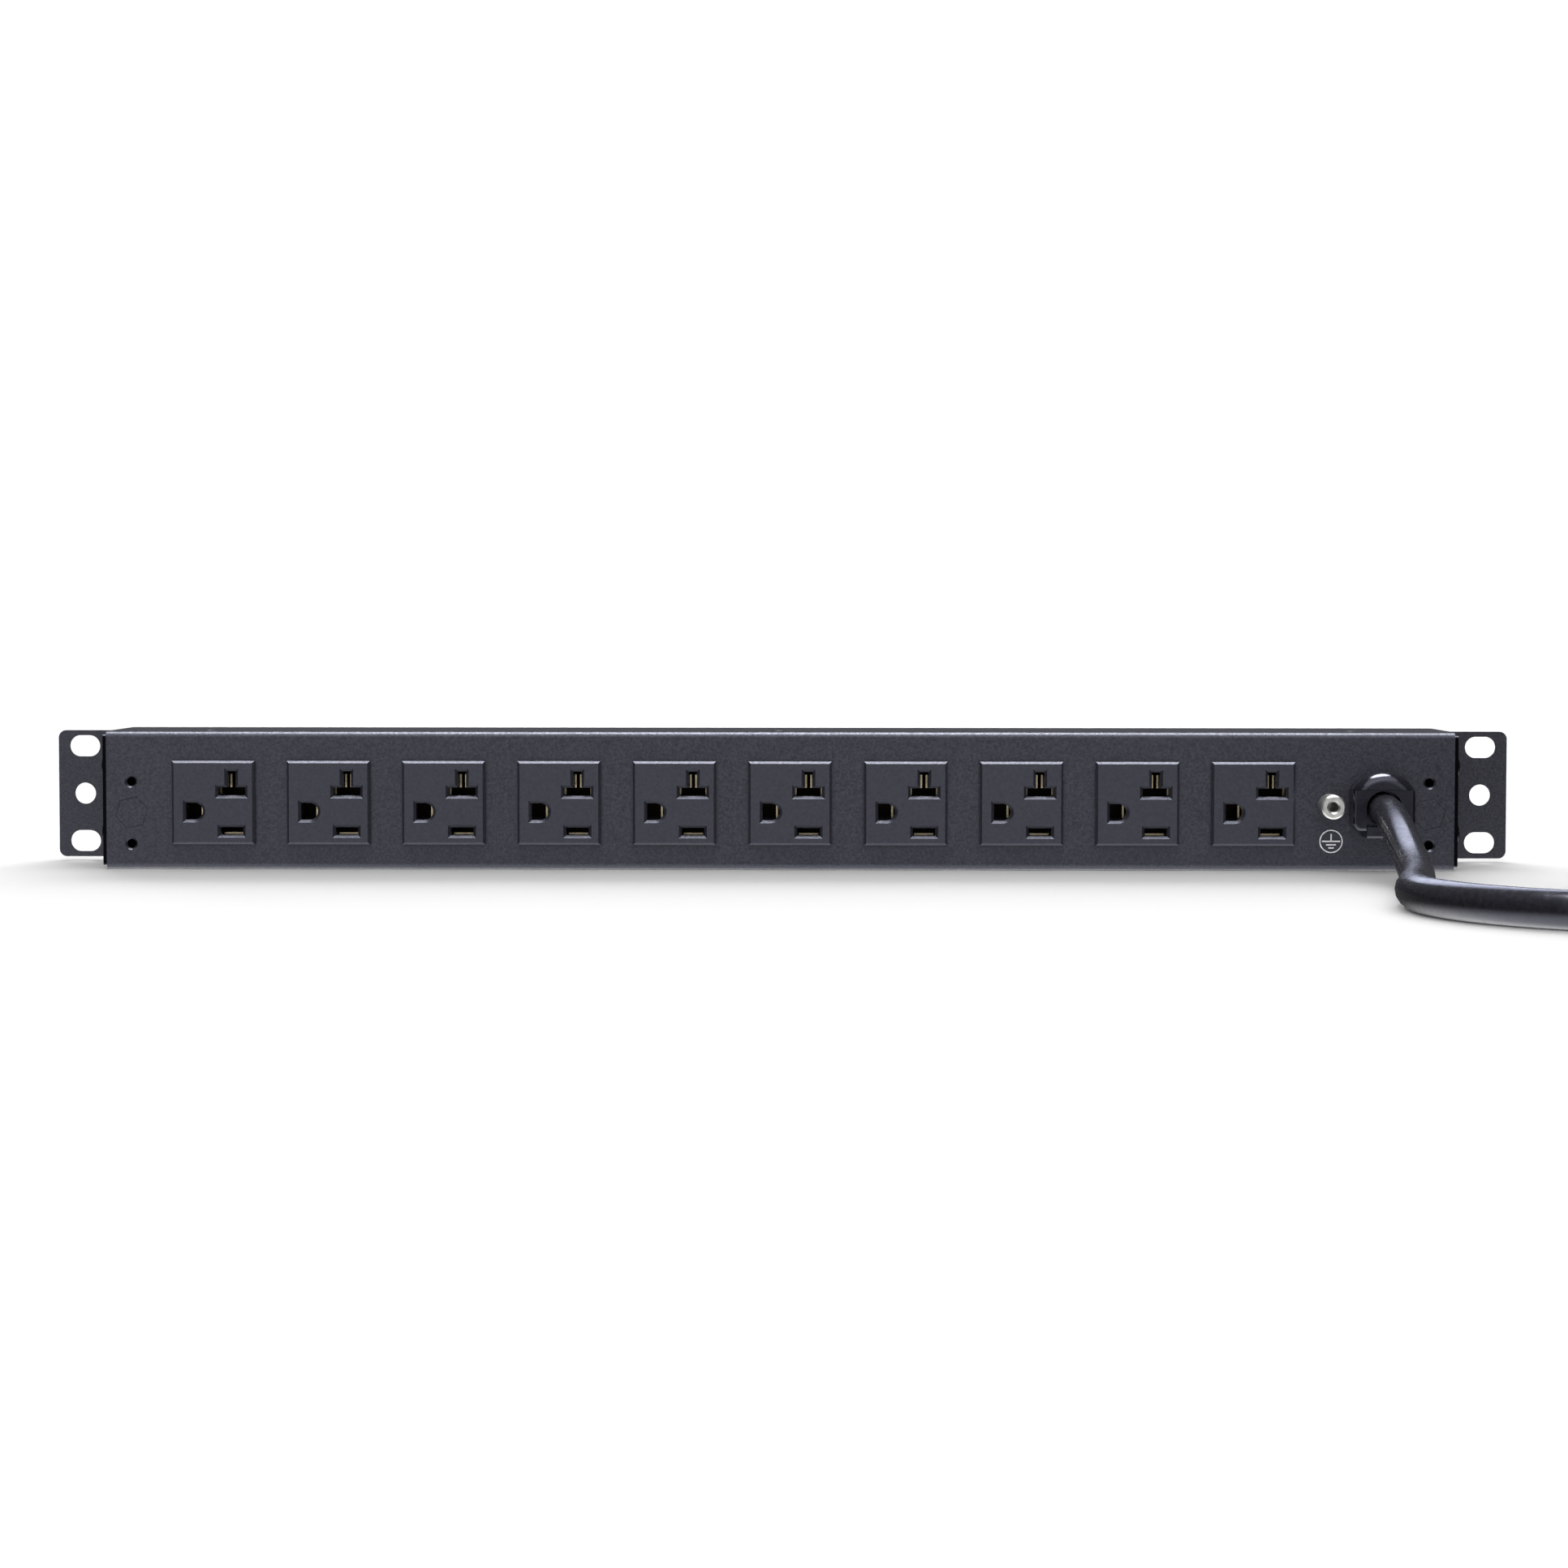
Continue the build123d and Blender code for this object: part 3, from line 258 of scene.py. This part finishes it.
def make_plug():
    """A moulded straight plug: a ribbed strain relief, a shoulder and a body with finger grooves."""
    rings = []
    pitch = PLUG_GRIP / RIB_COUNT
    for rib in range(RIB_COUNT):
        start = rib * pitch
        for share, depth in RIB_PROFILE:
            along = start + share * pitch
            radius = GRIP_RADIUS + GRIP_FLARE * along / PLUG_GRIP - depth
            rings.append(plug_ring(along, radius, radius, 2.0))
    for share, half_width, half_height, squareness in SHOULDER_PROFILE:
        rings.append(plug_ring(PLUG_GRIP + share * PLUG_BODY, half_width, half_height, squareness))
    for groove in range(GROOVE_COUNT):
        start = PLUG_GRIP + PLUG_BODY * (GROOVE_START + GROOVE_PITCH * groove)
        for offset, pinch in GROOVE_PROFILE:
            rings.append(plug_ring(start + offset, PLUG_HALF_WIDTH, PLUG_HALF_HEIGHT, PLUG_SQUARENESS,
                                   pinch))
    face = PLUG_GRIP + PLUG_BODY
    for back, inset in FACE_PROFILE:
        rings.append(plug_ring(face - back, PLUG_HALF_WIDTH - inset, PLUG_HALF_HEIGHT - inset,
                               PLUG_SQUARENESS))
    plug = loft("plug_shell", rings)
    subdivide(plug, 1)
    return plug


# ---------------------------------------------------------------- cord tie
TIE_OVERLAP = 0.022
TIE_START = 0.008
TIE_RAMP = 0.006
TIE_CORNER = 0.0048
TIE_STEP = 0.0012
TIE_BEVEL = 0.3


def around_bundle(distance, offset):
    """A point and its outward direction on the rounded outline of the tied turns, in a plane
    across the coil, measured from the middle of the outer side upwards."""
    half_across = CORD_DIAMETER + offset
    half_up = 2 * CORD_DIAMETER + offset
    corner = TIE_CORNER + offset
    legs = []
    for horizontal in (False, True, False, True):
        legs.append(2 * ((half_across if horizontal else half_up) - corner))
    quarter = corner * math.pi / 2
    outline = 2 * (legs[0] + legs[1]) + 4 * quarter
    left = (distance + legs[0] / 2) % outline
    corners = [(half_across, half_up), (-half_across, half_up), (-half_across, -half_up),
               (half_across, -half_up)]
    for side, (corner_x, corner_z) in enumerate(corners):
        facing = math.radians(90 * side)
        normal = Vector((math.cos(facing), math.sin(facing)))
        along = Vector((-normal.y, normal.x))
        centre = Vector((corner_x - math.copysign(corner, corner_x),
                         corner_z - math.copysign(corner, corner_z)))
        if left <= legs[side]:
            return centre + normal * corner - along * (legs[side] - left), normal
        left -= legs[side]
        if left <= quarter:
            facing += left / corner
            normal = Vector((math.cos(facing), math.sin(facing)))
            return centre + normal * corner, normal
        left -= quarter
    return centre, normal


def tie_outline():
    """The length once round the tied turns."""
    offset = TIE_THICK / 2
    straight = 4 * (3 * CORD_DIAMETER - 2 * TIE_CORNER)
    return straight + 2 * math.pi * (TIE_CORNER + offset)


def make_tie():
    """A hook-and-loop strap, once round the turns and lapped over itself on the outside."""
    facing = math.radians(TIE_ANGLE)
    out = Vector((math.cos(facing), math.sin(facing), 0))
    along = Vector((out.y, -out.x, 0))
    middle = Vector((COIL_X, COIL_Y, 0)) + out * (OUTER + INNER) / 2
    middle.z = 2 * CORD_DIAMETER + TIE_THICK
    total = tie_outline() + TIE_OVERLAP
    rings = []
    count = round(total / TIE_STEP)
    half = TIE_WIDTH / 2
    edge = TIE_THICK * TIE_BEVEL
    section = ((-half, 0.0), (-half + edge, 0.5), (0.0, 0.5), (half - edge, 0.5), (half, 0.0),
               (half - edge, -0.5), (0.0, -0.5), (-half + edge, -0.5))
    for number in range(count + 1):
        distance = total * number / count - TIE_START
        lapped = eased((distance + TIE_START - tie_outline() + TIE_RAMP) / TIE_RAMP)
        offset = TIE_THICK * (0.5 + lapped)
        place, normal = around_bundle(distance, offset)
        ring = []
        for sideways, outward in section:
            flat = place + normal * (TIE_THICK * outward)
            ring.append(middle + out * flat.x + Vector((0, 0, flat.y)) + along * sideways)
        rings.append(ring)
    tie = loft("tie_strap", rings)
    subdivide(tie, 1)
    return tie


# ---------------------------------------------------------------- rocker marks
ROCKER_X = 0.184
ROCKER_Y = 0.0227
ROCKER_Z = 0.0222
ROCKER_HALF = 0.0124
ROCKER_CREST = 0.0050
ROCKER_MIDDLE = 0.0028
ROCKER_REST = math.radians(-10.0)
PRINT_THICK = 0.00006
PRINT_LINE = 0.0009
ON_MARK_X = 0.0070
OFF_MARK_X = -0.0070
MARK_HEIGHT = 0.0048
OFF_MARK_STEPS = 40


def on_rocker(across, up, proud):
    """A point on the rocker's hollow face, before the pivot turns it, and then turned to rest."""
    sag = ROCKER_CREST - ROCKER_MIDDLE
    bend = (ROCKER_HALF ** 2 + sag ** 2) / (2 * sag)
    out = ROCKER_MIDDLE + bend - math.sqrt(bend ** 2 - across ** 2) + proud
    cosine = math.cos(ROCKER_REST)
    sine = math.sin(ROCKER_REST)
    return Vector((ROCKER_X + across * cosine - out * sine, ROCKER_Y + across * sine + out * cosine,
                   ROCKER_Z + up))


def print_band(name, inner, outer, closed):
    """A thin print on the rocker between two outlines, as pairs of (across, up)."""
    rings = []
    for near, far in zip(inner, outer):
        rings.append([on_rocker(*near, 0.0), on_rocker(*far, 0.0),
                      on_rocker(*far, PRINT_THICK), on_rocker(*near, PRINT_THICK)])
    return loft(name, rings, closed)


def make_rocker_marks():
    """The I of the on position and the O of the off position."""
    half = MARK_HEIGHT / 2
    rises = [-half + MARK_HEIGHT * step / 4 for step in range(5)]
    bar = print_band("on_mark", [(ON_MARK_X - PRINT_LINE / 2, rise) for rise in rises],
                     [(ON_MARK_X + PRINT_LINE / 2, rise) for rise in rises], closed=False)
    turns = [2 * math.pi * step / OFF_MARK_STEPS for step in range(OFF_MARK_STEPS)]
    circles = []
    for radius in (half - PRINT_LINE, half):
        circles.append([(OFF_MARK_X + radius * math.cos(turn), radius * math.sin(turn)) for turn in turns])
    return bar, print_band("off_mark", *circles, closed=True)


cord, cord_centreline = make_cord()
plug = make_plug()
tie = make_tie()
for piece in (cord, plug, tie):
    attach(piece, "case")
rocker_marks = make_rocker_marks()
for piece in rocker_marks:
    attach(piece, "rocker")
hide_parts("power_cord", "cord_tail", "cord_coil")
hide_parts("plug_body")
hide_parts("cord_tie")

# ---------------------------------------------------------------- studio
# Each of the room's panels grows along an axis from a start to a stop, up to its strength.
FLOOR_RADIUS = 14.0
FLOOR_WHITE = 0.66
SURROUND_RADIUS = 13.0
SURROUND_GLOW = 1.1
ROOM_DARK = 0.09
COOL_LIGHT = (0.76, 0.80, 1.0)
ROOM_PANELS = (("Y", -0.60, -0.90, 1.30), ("Y", -0.965, -0.995, -1.05), ("Z", -0.20, -0.80, 2.70))


def make_studio():
    """A white floor, a white surround that only the camera sees, and soft lights. The floor and
    the strip have their own lights, and the cord, its tie, plug and bushing have one more."""
    scene = bpy.context.scene
    scene.view_settings.view_transform = "Standard"
    floor = disc("floor", FLOOR_RADIUS)
    floor.data.materials.append(plain("floor_white", FLOOR_WHITE, 0.0))
    floor.visible_glossy = False
    surround = globe("surround", SURROUND_RADIUS)
    surround.data.materials.append(plain("surround_white", 1.0, SURROUND_GLOW))
    for ray in ("visible_diffuse", "visible_glossy", "visible_transmission", "visible_shadow"):
        setattr(surround, ray, False)
    scene.world = soft_room()
    on_floor = light_group("on_floor", "INCLUDE", floor)
    off_floor = light_group("off_floor", "EXCLUDE", floor)
    on_cord = light_group("on_cord", "INCLUDE", cord, plug, tie, nodes["strain_relief_cap"])
    sun("top_light", 8.0, 36.0, 0.0, off_floor)
    sun("front_light", 1.7, 60.0, 35.0, off_floor)
    sun("floor_light", 2.3, 120.0, 0.0, on_floor)
    sun("low_light", 7.2, 60.0, -73.0, on_floor)
    sun("rim_light", 0.75, 30.0, -60.0, on_cord, COOL_LIGHT)


def light_group(name, state, *pieces):
    """A set of what a light falls on: these pieces alone, or all but these."""
    group = bpy.data.collections.new(name)
    for piece in pieces:
        group.objects.link(piece)
    for member in group.collection_objects:
        member.light_linking.link_state = state
    return group


def soft_room():
    """The room's own light: dark to the sides, pale below, and with a soft panel on the camera's
    side, which has a dark middle where the camera stands."""
    world = bpy.data.worlds.new("studio")
    world.use_nodes = True
    tree = world.node_tree
    direction = tree.nodes.new("ShaderNodeTexCoord")
    axes = tree.nodes.new("ShaderNodeSeparateXYZ")
    tree.links.new(direction.outputs["Generated"], axes.inputs["Vector"])
    total = None
    for axis, start, stop, strength in ROOM_PANELS:
        panel = tree.nodes.new("ShaderNodeMapRange")
        panel.interpolation_type = "SMOOTHSTEP"
        panel.inputs["From Min"].default_value = start
        panel.inputs["From Max"].default_value = stop
        panel.inputs["To Min"].default_value = ROOM_DARK / len(ROOM_PANELS)
        panel.inputs["To Max"].default_value = strength
        tree.links.new(axes.outputs[axis], panel.inputs["Value"])
        if total is None:
            total = panel.outputs["Result"]
        else:
            both = tree.nodes.new("ShaderNodeMath")
            tree.links.new(total, both.inputs[0])
            tree.links.new(panel.outputs["Result"], both.inputs[1])
            total = both.outputs["Value"]
    tree.links.new(total, tree.nodes["Background"].inputs["Strength"])
    tree.nodes["Background"].inputs["Color"].default_value = (1.0, 1.0, 1.0, 1.0)
    return world


def sun(name, strength, spread, lean, receivers, colour=(1.0, 1.0, 1.0)):
    """A broad, even light. A lean above 0 degrees turns it from straight above onto the rear face,
    and one below 0 onto the front face."""
    lamp = bpy.data.lights.new(name, "SUN")
    lamp.energy = strength
    lamp.color = colour
    lamp.angle = math.radians(spread)
    light = bpy.data.objects.new(name, lamp)
    light.rotation_euler = (math.radians(lean), 0, 0)
    light.light_linking.receiver_collection = receivers
    bpy.context.collection.objects.link(light)


def disc(name, radius):
    """A flat round sheet at the height of the floor."""
    bm = bmesh.new()
    bmesh.ops.create_circle(bm, cap_ends=True, radius=radius, segments=96)
    return link_mesh(name, bm)


def globe(name, radius):
    """A whole sphere, seen from inside."""
    bm = bmesh.new()
    bmesh.ops.create_uvsphere(bm, u_segments=48, v_segments=24, radius=radius)
    return link_mesh(name, bm)


def plain(name, grey, glow):
    """A stage finish: matt, or glowing."""
    made = bpy.data.materials.new(name)
    made.use_nodes = True
    surface = made.node_tree.nodes["Principled BSDF"]
    surface.inputs["Base Color"].default_value = (grey, grey, grey, 1.0)
    surface.inputs["Roughness"].default_value = 1.0
    surface.inputs["Specular IOR Level"].default_value = 0.0
    surface.inputs["Emission Color"].default_value = (grey, grey, grey, 1.0)
    surface.inputs["Emission Strength"].default_value = glow
    return made


make_studio()


# ---------------------------------------------------------------- finishes
MOTTLE_STARTS = 0.32
MOTTLE_ENDS = 0.68
RIB_DISTORTION = 0.6


class Finish:
    """A procedural material in object coordinates, so that it stays on its part."""

    def __init__(self, name, colour, roughness, **sockets):
        self.material = bpy.data.materials.new(name)
        self.material.use_nodes = True
        self.tree = self.material.node_tree
        self.surface = self.tree.nodes["Principled BSDF"]
        self.surface.inputs["Base Color"].default_value = (*colour, 1.0)
        self.surface.inputs["Roughness"].default_value = roughness
        for socket, value in sockets.items():
            self.surface.inputs[socket.replace("_", " ")].default_value = value
        self.coords = self.tree.nodes.new("ShaderNodeTexCoord")
        self.colour = colour
        self.roughness = roughness
        self.height = None

    def noise(self, scale, detail=2.0, stretch=(1, 1, 1)):
        """Noise with this many features to the metre, longer where the stretch is under 1."""
        place = self.tree.nodes.new("ShaderNodeMapping")
        place.inputs["Scale"].default_value = stretch
        self.tree.links.new(self.coords.outputs["Object"], place.inputs["Vector"])
        texture = self.tree.nodes.new("ShaderNodeTexNoise")
        texture.inputs["Scale"].default_value = scale
        texture.inputs["Detail"].default_value = detail
        self.tree.links.new(place.outputs["Vector"], texture.inputs["Vector"])
        return texture.outputs["Fac"]

    def spread(self, value, low, high, start=0.3, stop=0.7):
        """Map a texture value to a range."""
        span = self.tree.nodes.new("ShaderNodeMapRange")
        span.inputs["From Min"].default_value = start
        span.inputs["From Max"].default_value = stop
        span.inputs["To Min"].default_value = low
        span.inputs["To Max"].default_value = high
        self.tree.links.new(value, span.inputs["Value"])
        return span.outputs["Result"]

    def mottle(self, scale, darkest, lightest, detail=2.0, stretch=(1, 1, 1)):
        """Vary the colour between a darker and a lighter shade of itself."""
        ramp = self.tree.nodes.new("ShaderNodeValToRGB")
        ramp.color_ramp.elements[0].position = MOTTLE_STARTS
        ramp.color_ramp.elements[1].position = MOTTLE_ENDS
        for element, gain in zip(ramp.color_ramp.elements, (darkest, lightest)):
            element.color = (*(min(1.0, channel * gain) for channel in self.colour), 1.0)
        self.tree.links.new(self.noise(scale, detail, stretch), ramp.inputs["Fac"])
        self.tree.links.new(ramp.outputs["Color"], self.surface.inputs["Base Color"])
        return self

    def gloss(self, scale, swing, stretch=(1, 1, 1)):
        """Vary the roughness either way by a swing."""
        value = self.spread(self.noise(scale, 3.0, stretch), self.roughness - swing, self.roughness + swing)
        self.tree.links.new(value, self.surface.inputs["Roughness"])
        return self

    def relief(self, scale, depth, detail=2.0, stretch=(1, 1, 1)):
        """Raise and sink the surface by a fine texture; a second call adds to the first."""
        self.bump(self.noise(scale, detail, stretch), depth)
        return self

    def bump(self, value, depth):
        """Add a height to the surface's normal."""
        bump = self.tree.nodes.new("ShaderNodeBump")
        bump.inputs["Distance"].default_value = depth
        self.tree.links.new(value, bump.inputs["Height"])
        if self.height:
            self.tree.links.new(self.height, bump.inputs["Normal"])
        self.height = bump.outputs["Normal"]
        self.tree.links.new(self.height, self.surface.inputs["Normal"])

    def axis(self, name):
        """A place on the surface along one of the frame's axes."""
        axes = self.tree.nodes.new("ShaderNodeSeparateXYZ")
        self.tree.links.new(self.coords.outputs["Object"], axes.inputs["Vector"])
        return axes.outputs[name]

    def towards(self, socket, colour, share):
        """Turn what a colour socket is given into another colour, by a share from 0 to 1."""
        mix = self.tree.nodes.new("ShaderNodeMix")
        mix.data_type = "RGBA"
        mix.inputs["B"].default_value = colour
        self.tree.links.new(share, mix.inputs["Factor"])
        self.tree.links.new(self.surface.inputs[socket].links[0].from_socket, mix.inputs["A"])
        self.tree.links.new(mix.outputs["Result"], self.surface.inputs[socket])

    def weave(self, rib, depth):
        """The ribs of a woven tape, both ways, each about this wide with as wide a gap beside it."""
        for direction in ("X", "Z"):
            wave = self.tree.nodes.new("ShaderNodeTexWave")
            wave.bands_direction = direction
            wave.inputs["Scale"].default_value = 1 / (2 * math.pi * rib)
            wave.inputs["Distortion"].default_value = RIB_DISTORTION
            self.tree.links.new(self.coords.outputs["Object"], wave.inputs["Vector"])
            self.bump(wave.outputs["Fac"], depth)
        return self


# Places along Y: the brass is painted fully dark, a painted shade deep in the sockets, up to one distance
# from the strip's middle plane and bright from the other, and the painted shade on the ear flange's rear
# edge fades out between two depths.
FULL_SHADE_ENDS = 0.0125
BRIGHT_STARTS = 0.0165
EDGE_SHADE_ENDS = -0.0212
EDGE_SHADE_STARTS = -0.0209
BRASS_PAINTED_SHADE = (0.006, 0.005, 0.004, 1.0)
EDGE_PAINTED_SHADE = (0.003, 0.003, 0.004, 1.0)
COOL = (0.78, 0.81, 1.0, 1.0)


def powder_coat(name, colour):
    """Fine-textured polyester powder coat on steel."""
    finish = Finish(name, colour, 0.38, Specular_Tint=COOL)
    finish.mottle(1500, 0.30, 1.90, detail=3.0)
    finish.gloss(1400, 0.10)
    finish.relief(1500, 0.00008, detail=3.0)
    return finish


def ear_coat():
    """The same coat, with a painted shade on the rear edge of each ear's flange: dark and metallic."""
    finish = powder_coat("ear_coat", (0.011, 0.011, 0.013))
    # Painted shade: the rear edge of the flange is made dark and metallic, standing in for the shade there.
    edge = finish.spread(finish.axis("Y"), 1.0, 0.0, EDGE_SHADE_ENDS, EDGE_SHADE_STARTS)
    finish.towards("Base Color", EDGE_PAINTED_SHADE, edge)
    finish.tree.links.new(edge, finish.surface.inputs["Metallic"])
    return finish.material


def moulded(name, colour, roughness, texture_depth, **sockets):
    """Moulded plastic with the fine texture of its tool."""
    finish = Finish(name, colour, roughness, Specular_Tint=COOL, **sockets)
    finish.mottle(1200, 0.70, 1.30, detail=3.0)
    finish.gloss(900, 0.05)
    finish.relief(2000, texture_depth, detail=3.0)
    return finish.material


def metal(name, colour, roughness, brushing=(1, 1, 1)):
    """Plain or plated metal with faint tool marks and uneven tarnish."""
    finish = Finish(name, colour, roughness, Metallic=1.0)
    finish.mottle(520, 0.84, 1.08, detail=4.0)
    finish.gloss(800, 0.08, brushing)
    finish.relief(2400, 0.00002, stretch=brushing)
    return finish.material


def contact_brass():
    """Spring brass, bright at the sockets' mouths, with a painted shade that darkens it nearly black
    further in.
    """
    finish = Finish("contact_brass", (0.42, 0.36, 0.24), 0.30, Metallic=1.0)
    finish.mottle(520, 0.80, 1.08, detail=4.0)
    finish.gloss(800, 0.08)
    # Painted shade: the brass darkens to nearly black with depth into the sockets.
    from_middle = finish.tree.nodes.new("ShaderNodeMath")
    from_middle.operation = "ABSOLUTE"
    finish.tree.links.new(finish.axis("Y"), from_middle.inputs[0])
    painted_shade = finish.spread(from_middle.outputs["Value"], 1.0, 0.0, FULL_SHADE_ENDS, BRIGHT_STARTS)
    finish.towards("Base Color", BRASS_PAINTED_SHADE, painted_shade)
    return finish.material


def wire_cover(name, colour):
    """Soft PVC insulation."""
    finish = Finish(name, colour, 0.42)
    finish.mottle(300, 0.9, 1.08)
    finish.gloss(500, 0.06)
    finish.relief(1200, 0.00003)
    return finish.material


def cord_jacket():
    """The cord's smooth vinyl jacket, with a trace of dust and handling marks."""
    finish = Finish("cord_jacket", (0.008, 0.008, 0.010), 0.25, Specular_Tint=COOL)
    finish.mottle(700, 0.80, 1.40, detail=5.0)
    finish.gloss(420, 0.05)
    finish.relief(190, 0.00002)
    return finish.material


def tie_fabric():
    """Woven hook-and-loop tape."""
    finish = Finish("tie_fabric", (0.016, 0.016, 0.018), 0.85, Sheen_Weight=0.4, Sheen_Roughness=0.4)
    finish.mottle(1400, 0.6, 1.7, detail=4.0)
    finish.weave(0.0007, 0.00016)
    return finish.material


FINISHES = {
    "case_coat": powder_coat("case_coat", (0.012, 0.012, 0.015)).material,
    "ear_coat": ear_coat(),
    "black_screw": metal("black_screw", (0.035, 0.035, 0.042), 0.22),
    "outlet_plastic": moulded("outlet_plastic", (0.012, 0.012, 0.016), 0.44, 0.00004),
    "contact_brass": contact_brass(),
    "insulator_board": moulded("insulator_board", (0.22, 0.20, 0.15), 0.75, 0.00006),
    "nickel": metal("nickel", (0.42, 0.42, 0.41), 0.40),
    "white_print": moulded("white_print", (0.80, 0.80, 0.82), 0.55, 0.00001),
    "bushing_nylon": moulded("bushing_nylon", (0.005, 0.005, 0.007), 0.16, 0.000004),
    "switch_plastic": moulded("switch_plastic", (0.018, 0.018, 0.020), 0.30, 0.00002),
    "button_plastic": moulded("button_plastic", (0.70, 0.70, 0.68), 0.36, 0.00001),
    "line_wire": wire_cover("line_wire", (0.015, 0.015, 0.015)),
    "neutral_wire": wire_cover("neutral_wire", (0.72, 0.72, 0.69)),
    "ground_wire": wire_cover("ground_wire", (0.02, 0.22, 0.05)),
    "cord_jacket": cord_jacket(),
    "tie_fabric": tie_fabric(),
    "plug_vinyl": moulded("plug_vinyl", (0.018, 0.018, 0.021), 0.40, 0.00003),
    "blade_nickel": metal("blade_nickel", (0.70, 0.69, 0.66), 0.24, (1, 0.2, 1)),
}

NODES_OF_SLOT = {
    "case_coat": ["rear_panel", "front_chassis", "clinch_standoff_left", "clinch_standoff_right"],
    "ear_coat": ["ear_right", "ear_left"],
    "black_screw": ["cover_screws", "front_screws", "ear_screws_left", "ear_screws_right"],
    "outlet_plastic": ["outlet_backs", "front_outlet_backs", "front_outlet_1", "front_outlet_2"]
    + [f"outlet_{number:02d}" for number in range(1, 11)],
    "contact_brass": ["neutral_contacts", "line_contacts", "ground_contacts", "neutral_bus", "line_bus",
                      "ground_bus", "front_posts"],
    "insulator_board": ["bus_insulator"],
    "nickel": ["ground_stud", "ground_stud_nut", "ground_ring_terminal", "switch_tabs", "breaker_tabs",
               "breaker_nut"],
    "white_print": ["earth_symbol"],
    "bushing_nylon": ["strain_relief_body", "strain_relief_cap"],
    "switch_plastic": ["switch_body", "rocker", "breaker_body"],
    "button_plastic": ["reset_button"],
    "line_wire": ["line_lead", "switch_lead", "line_jumper"],
    "neutral_wire": ["neutral_lead"],
    "ground_wire": ["ground_lead", "ground_jumper"],
    "blade_nickel": ["plug_blades", "plug_ground_pin"],
}


def paint(piece, slot):
    """Give a piece its finish, and name the record's slot that it stands for."""
    piece.data.materials.clear()
    piece.data.materials.append(FINISHES[slot])


for slot, names in NODES_OF_SLOT.items():
    for name in names:
        paint(nodes[name], slot)
paint(cord, "cord_jacket")
paint(plug, "plug_vinyl")
paint(tie, "tie_fabric")
for piece in rocker_marks:
    paint(piece, "white_print")
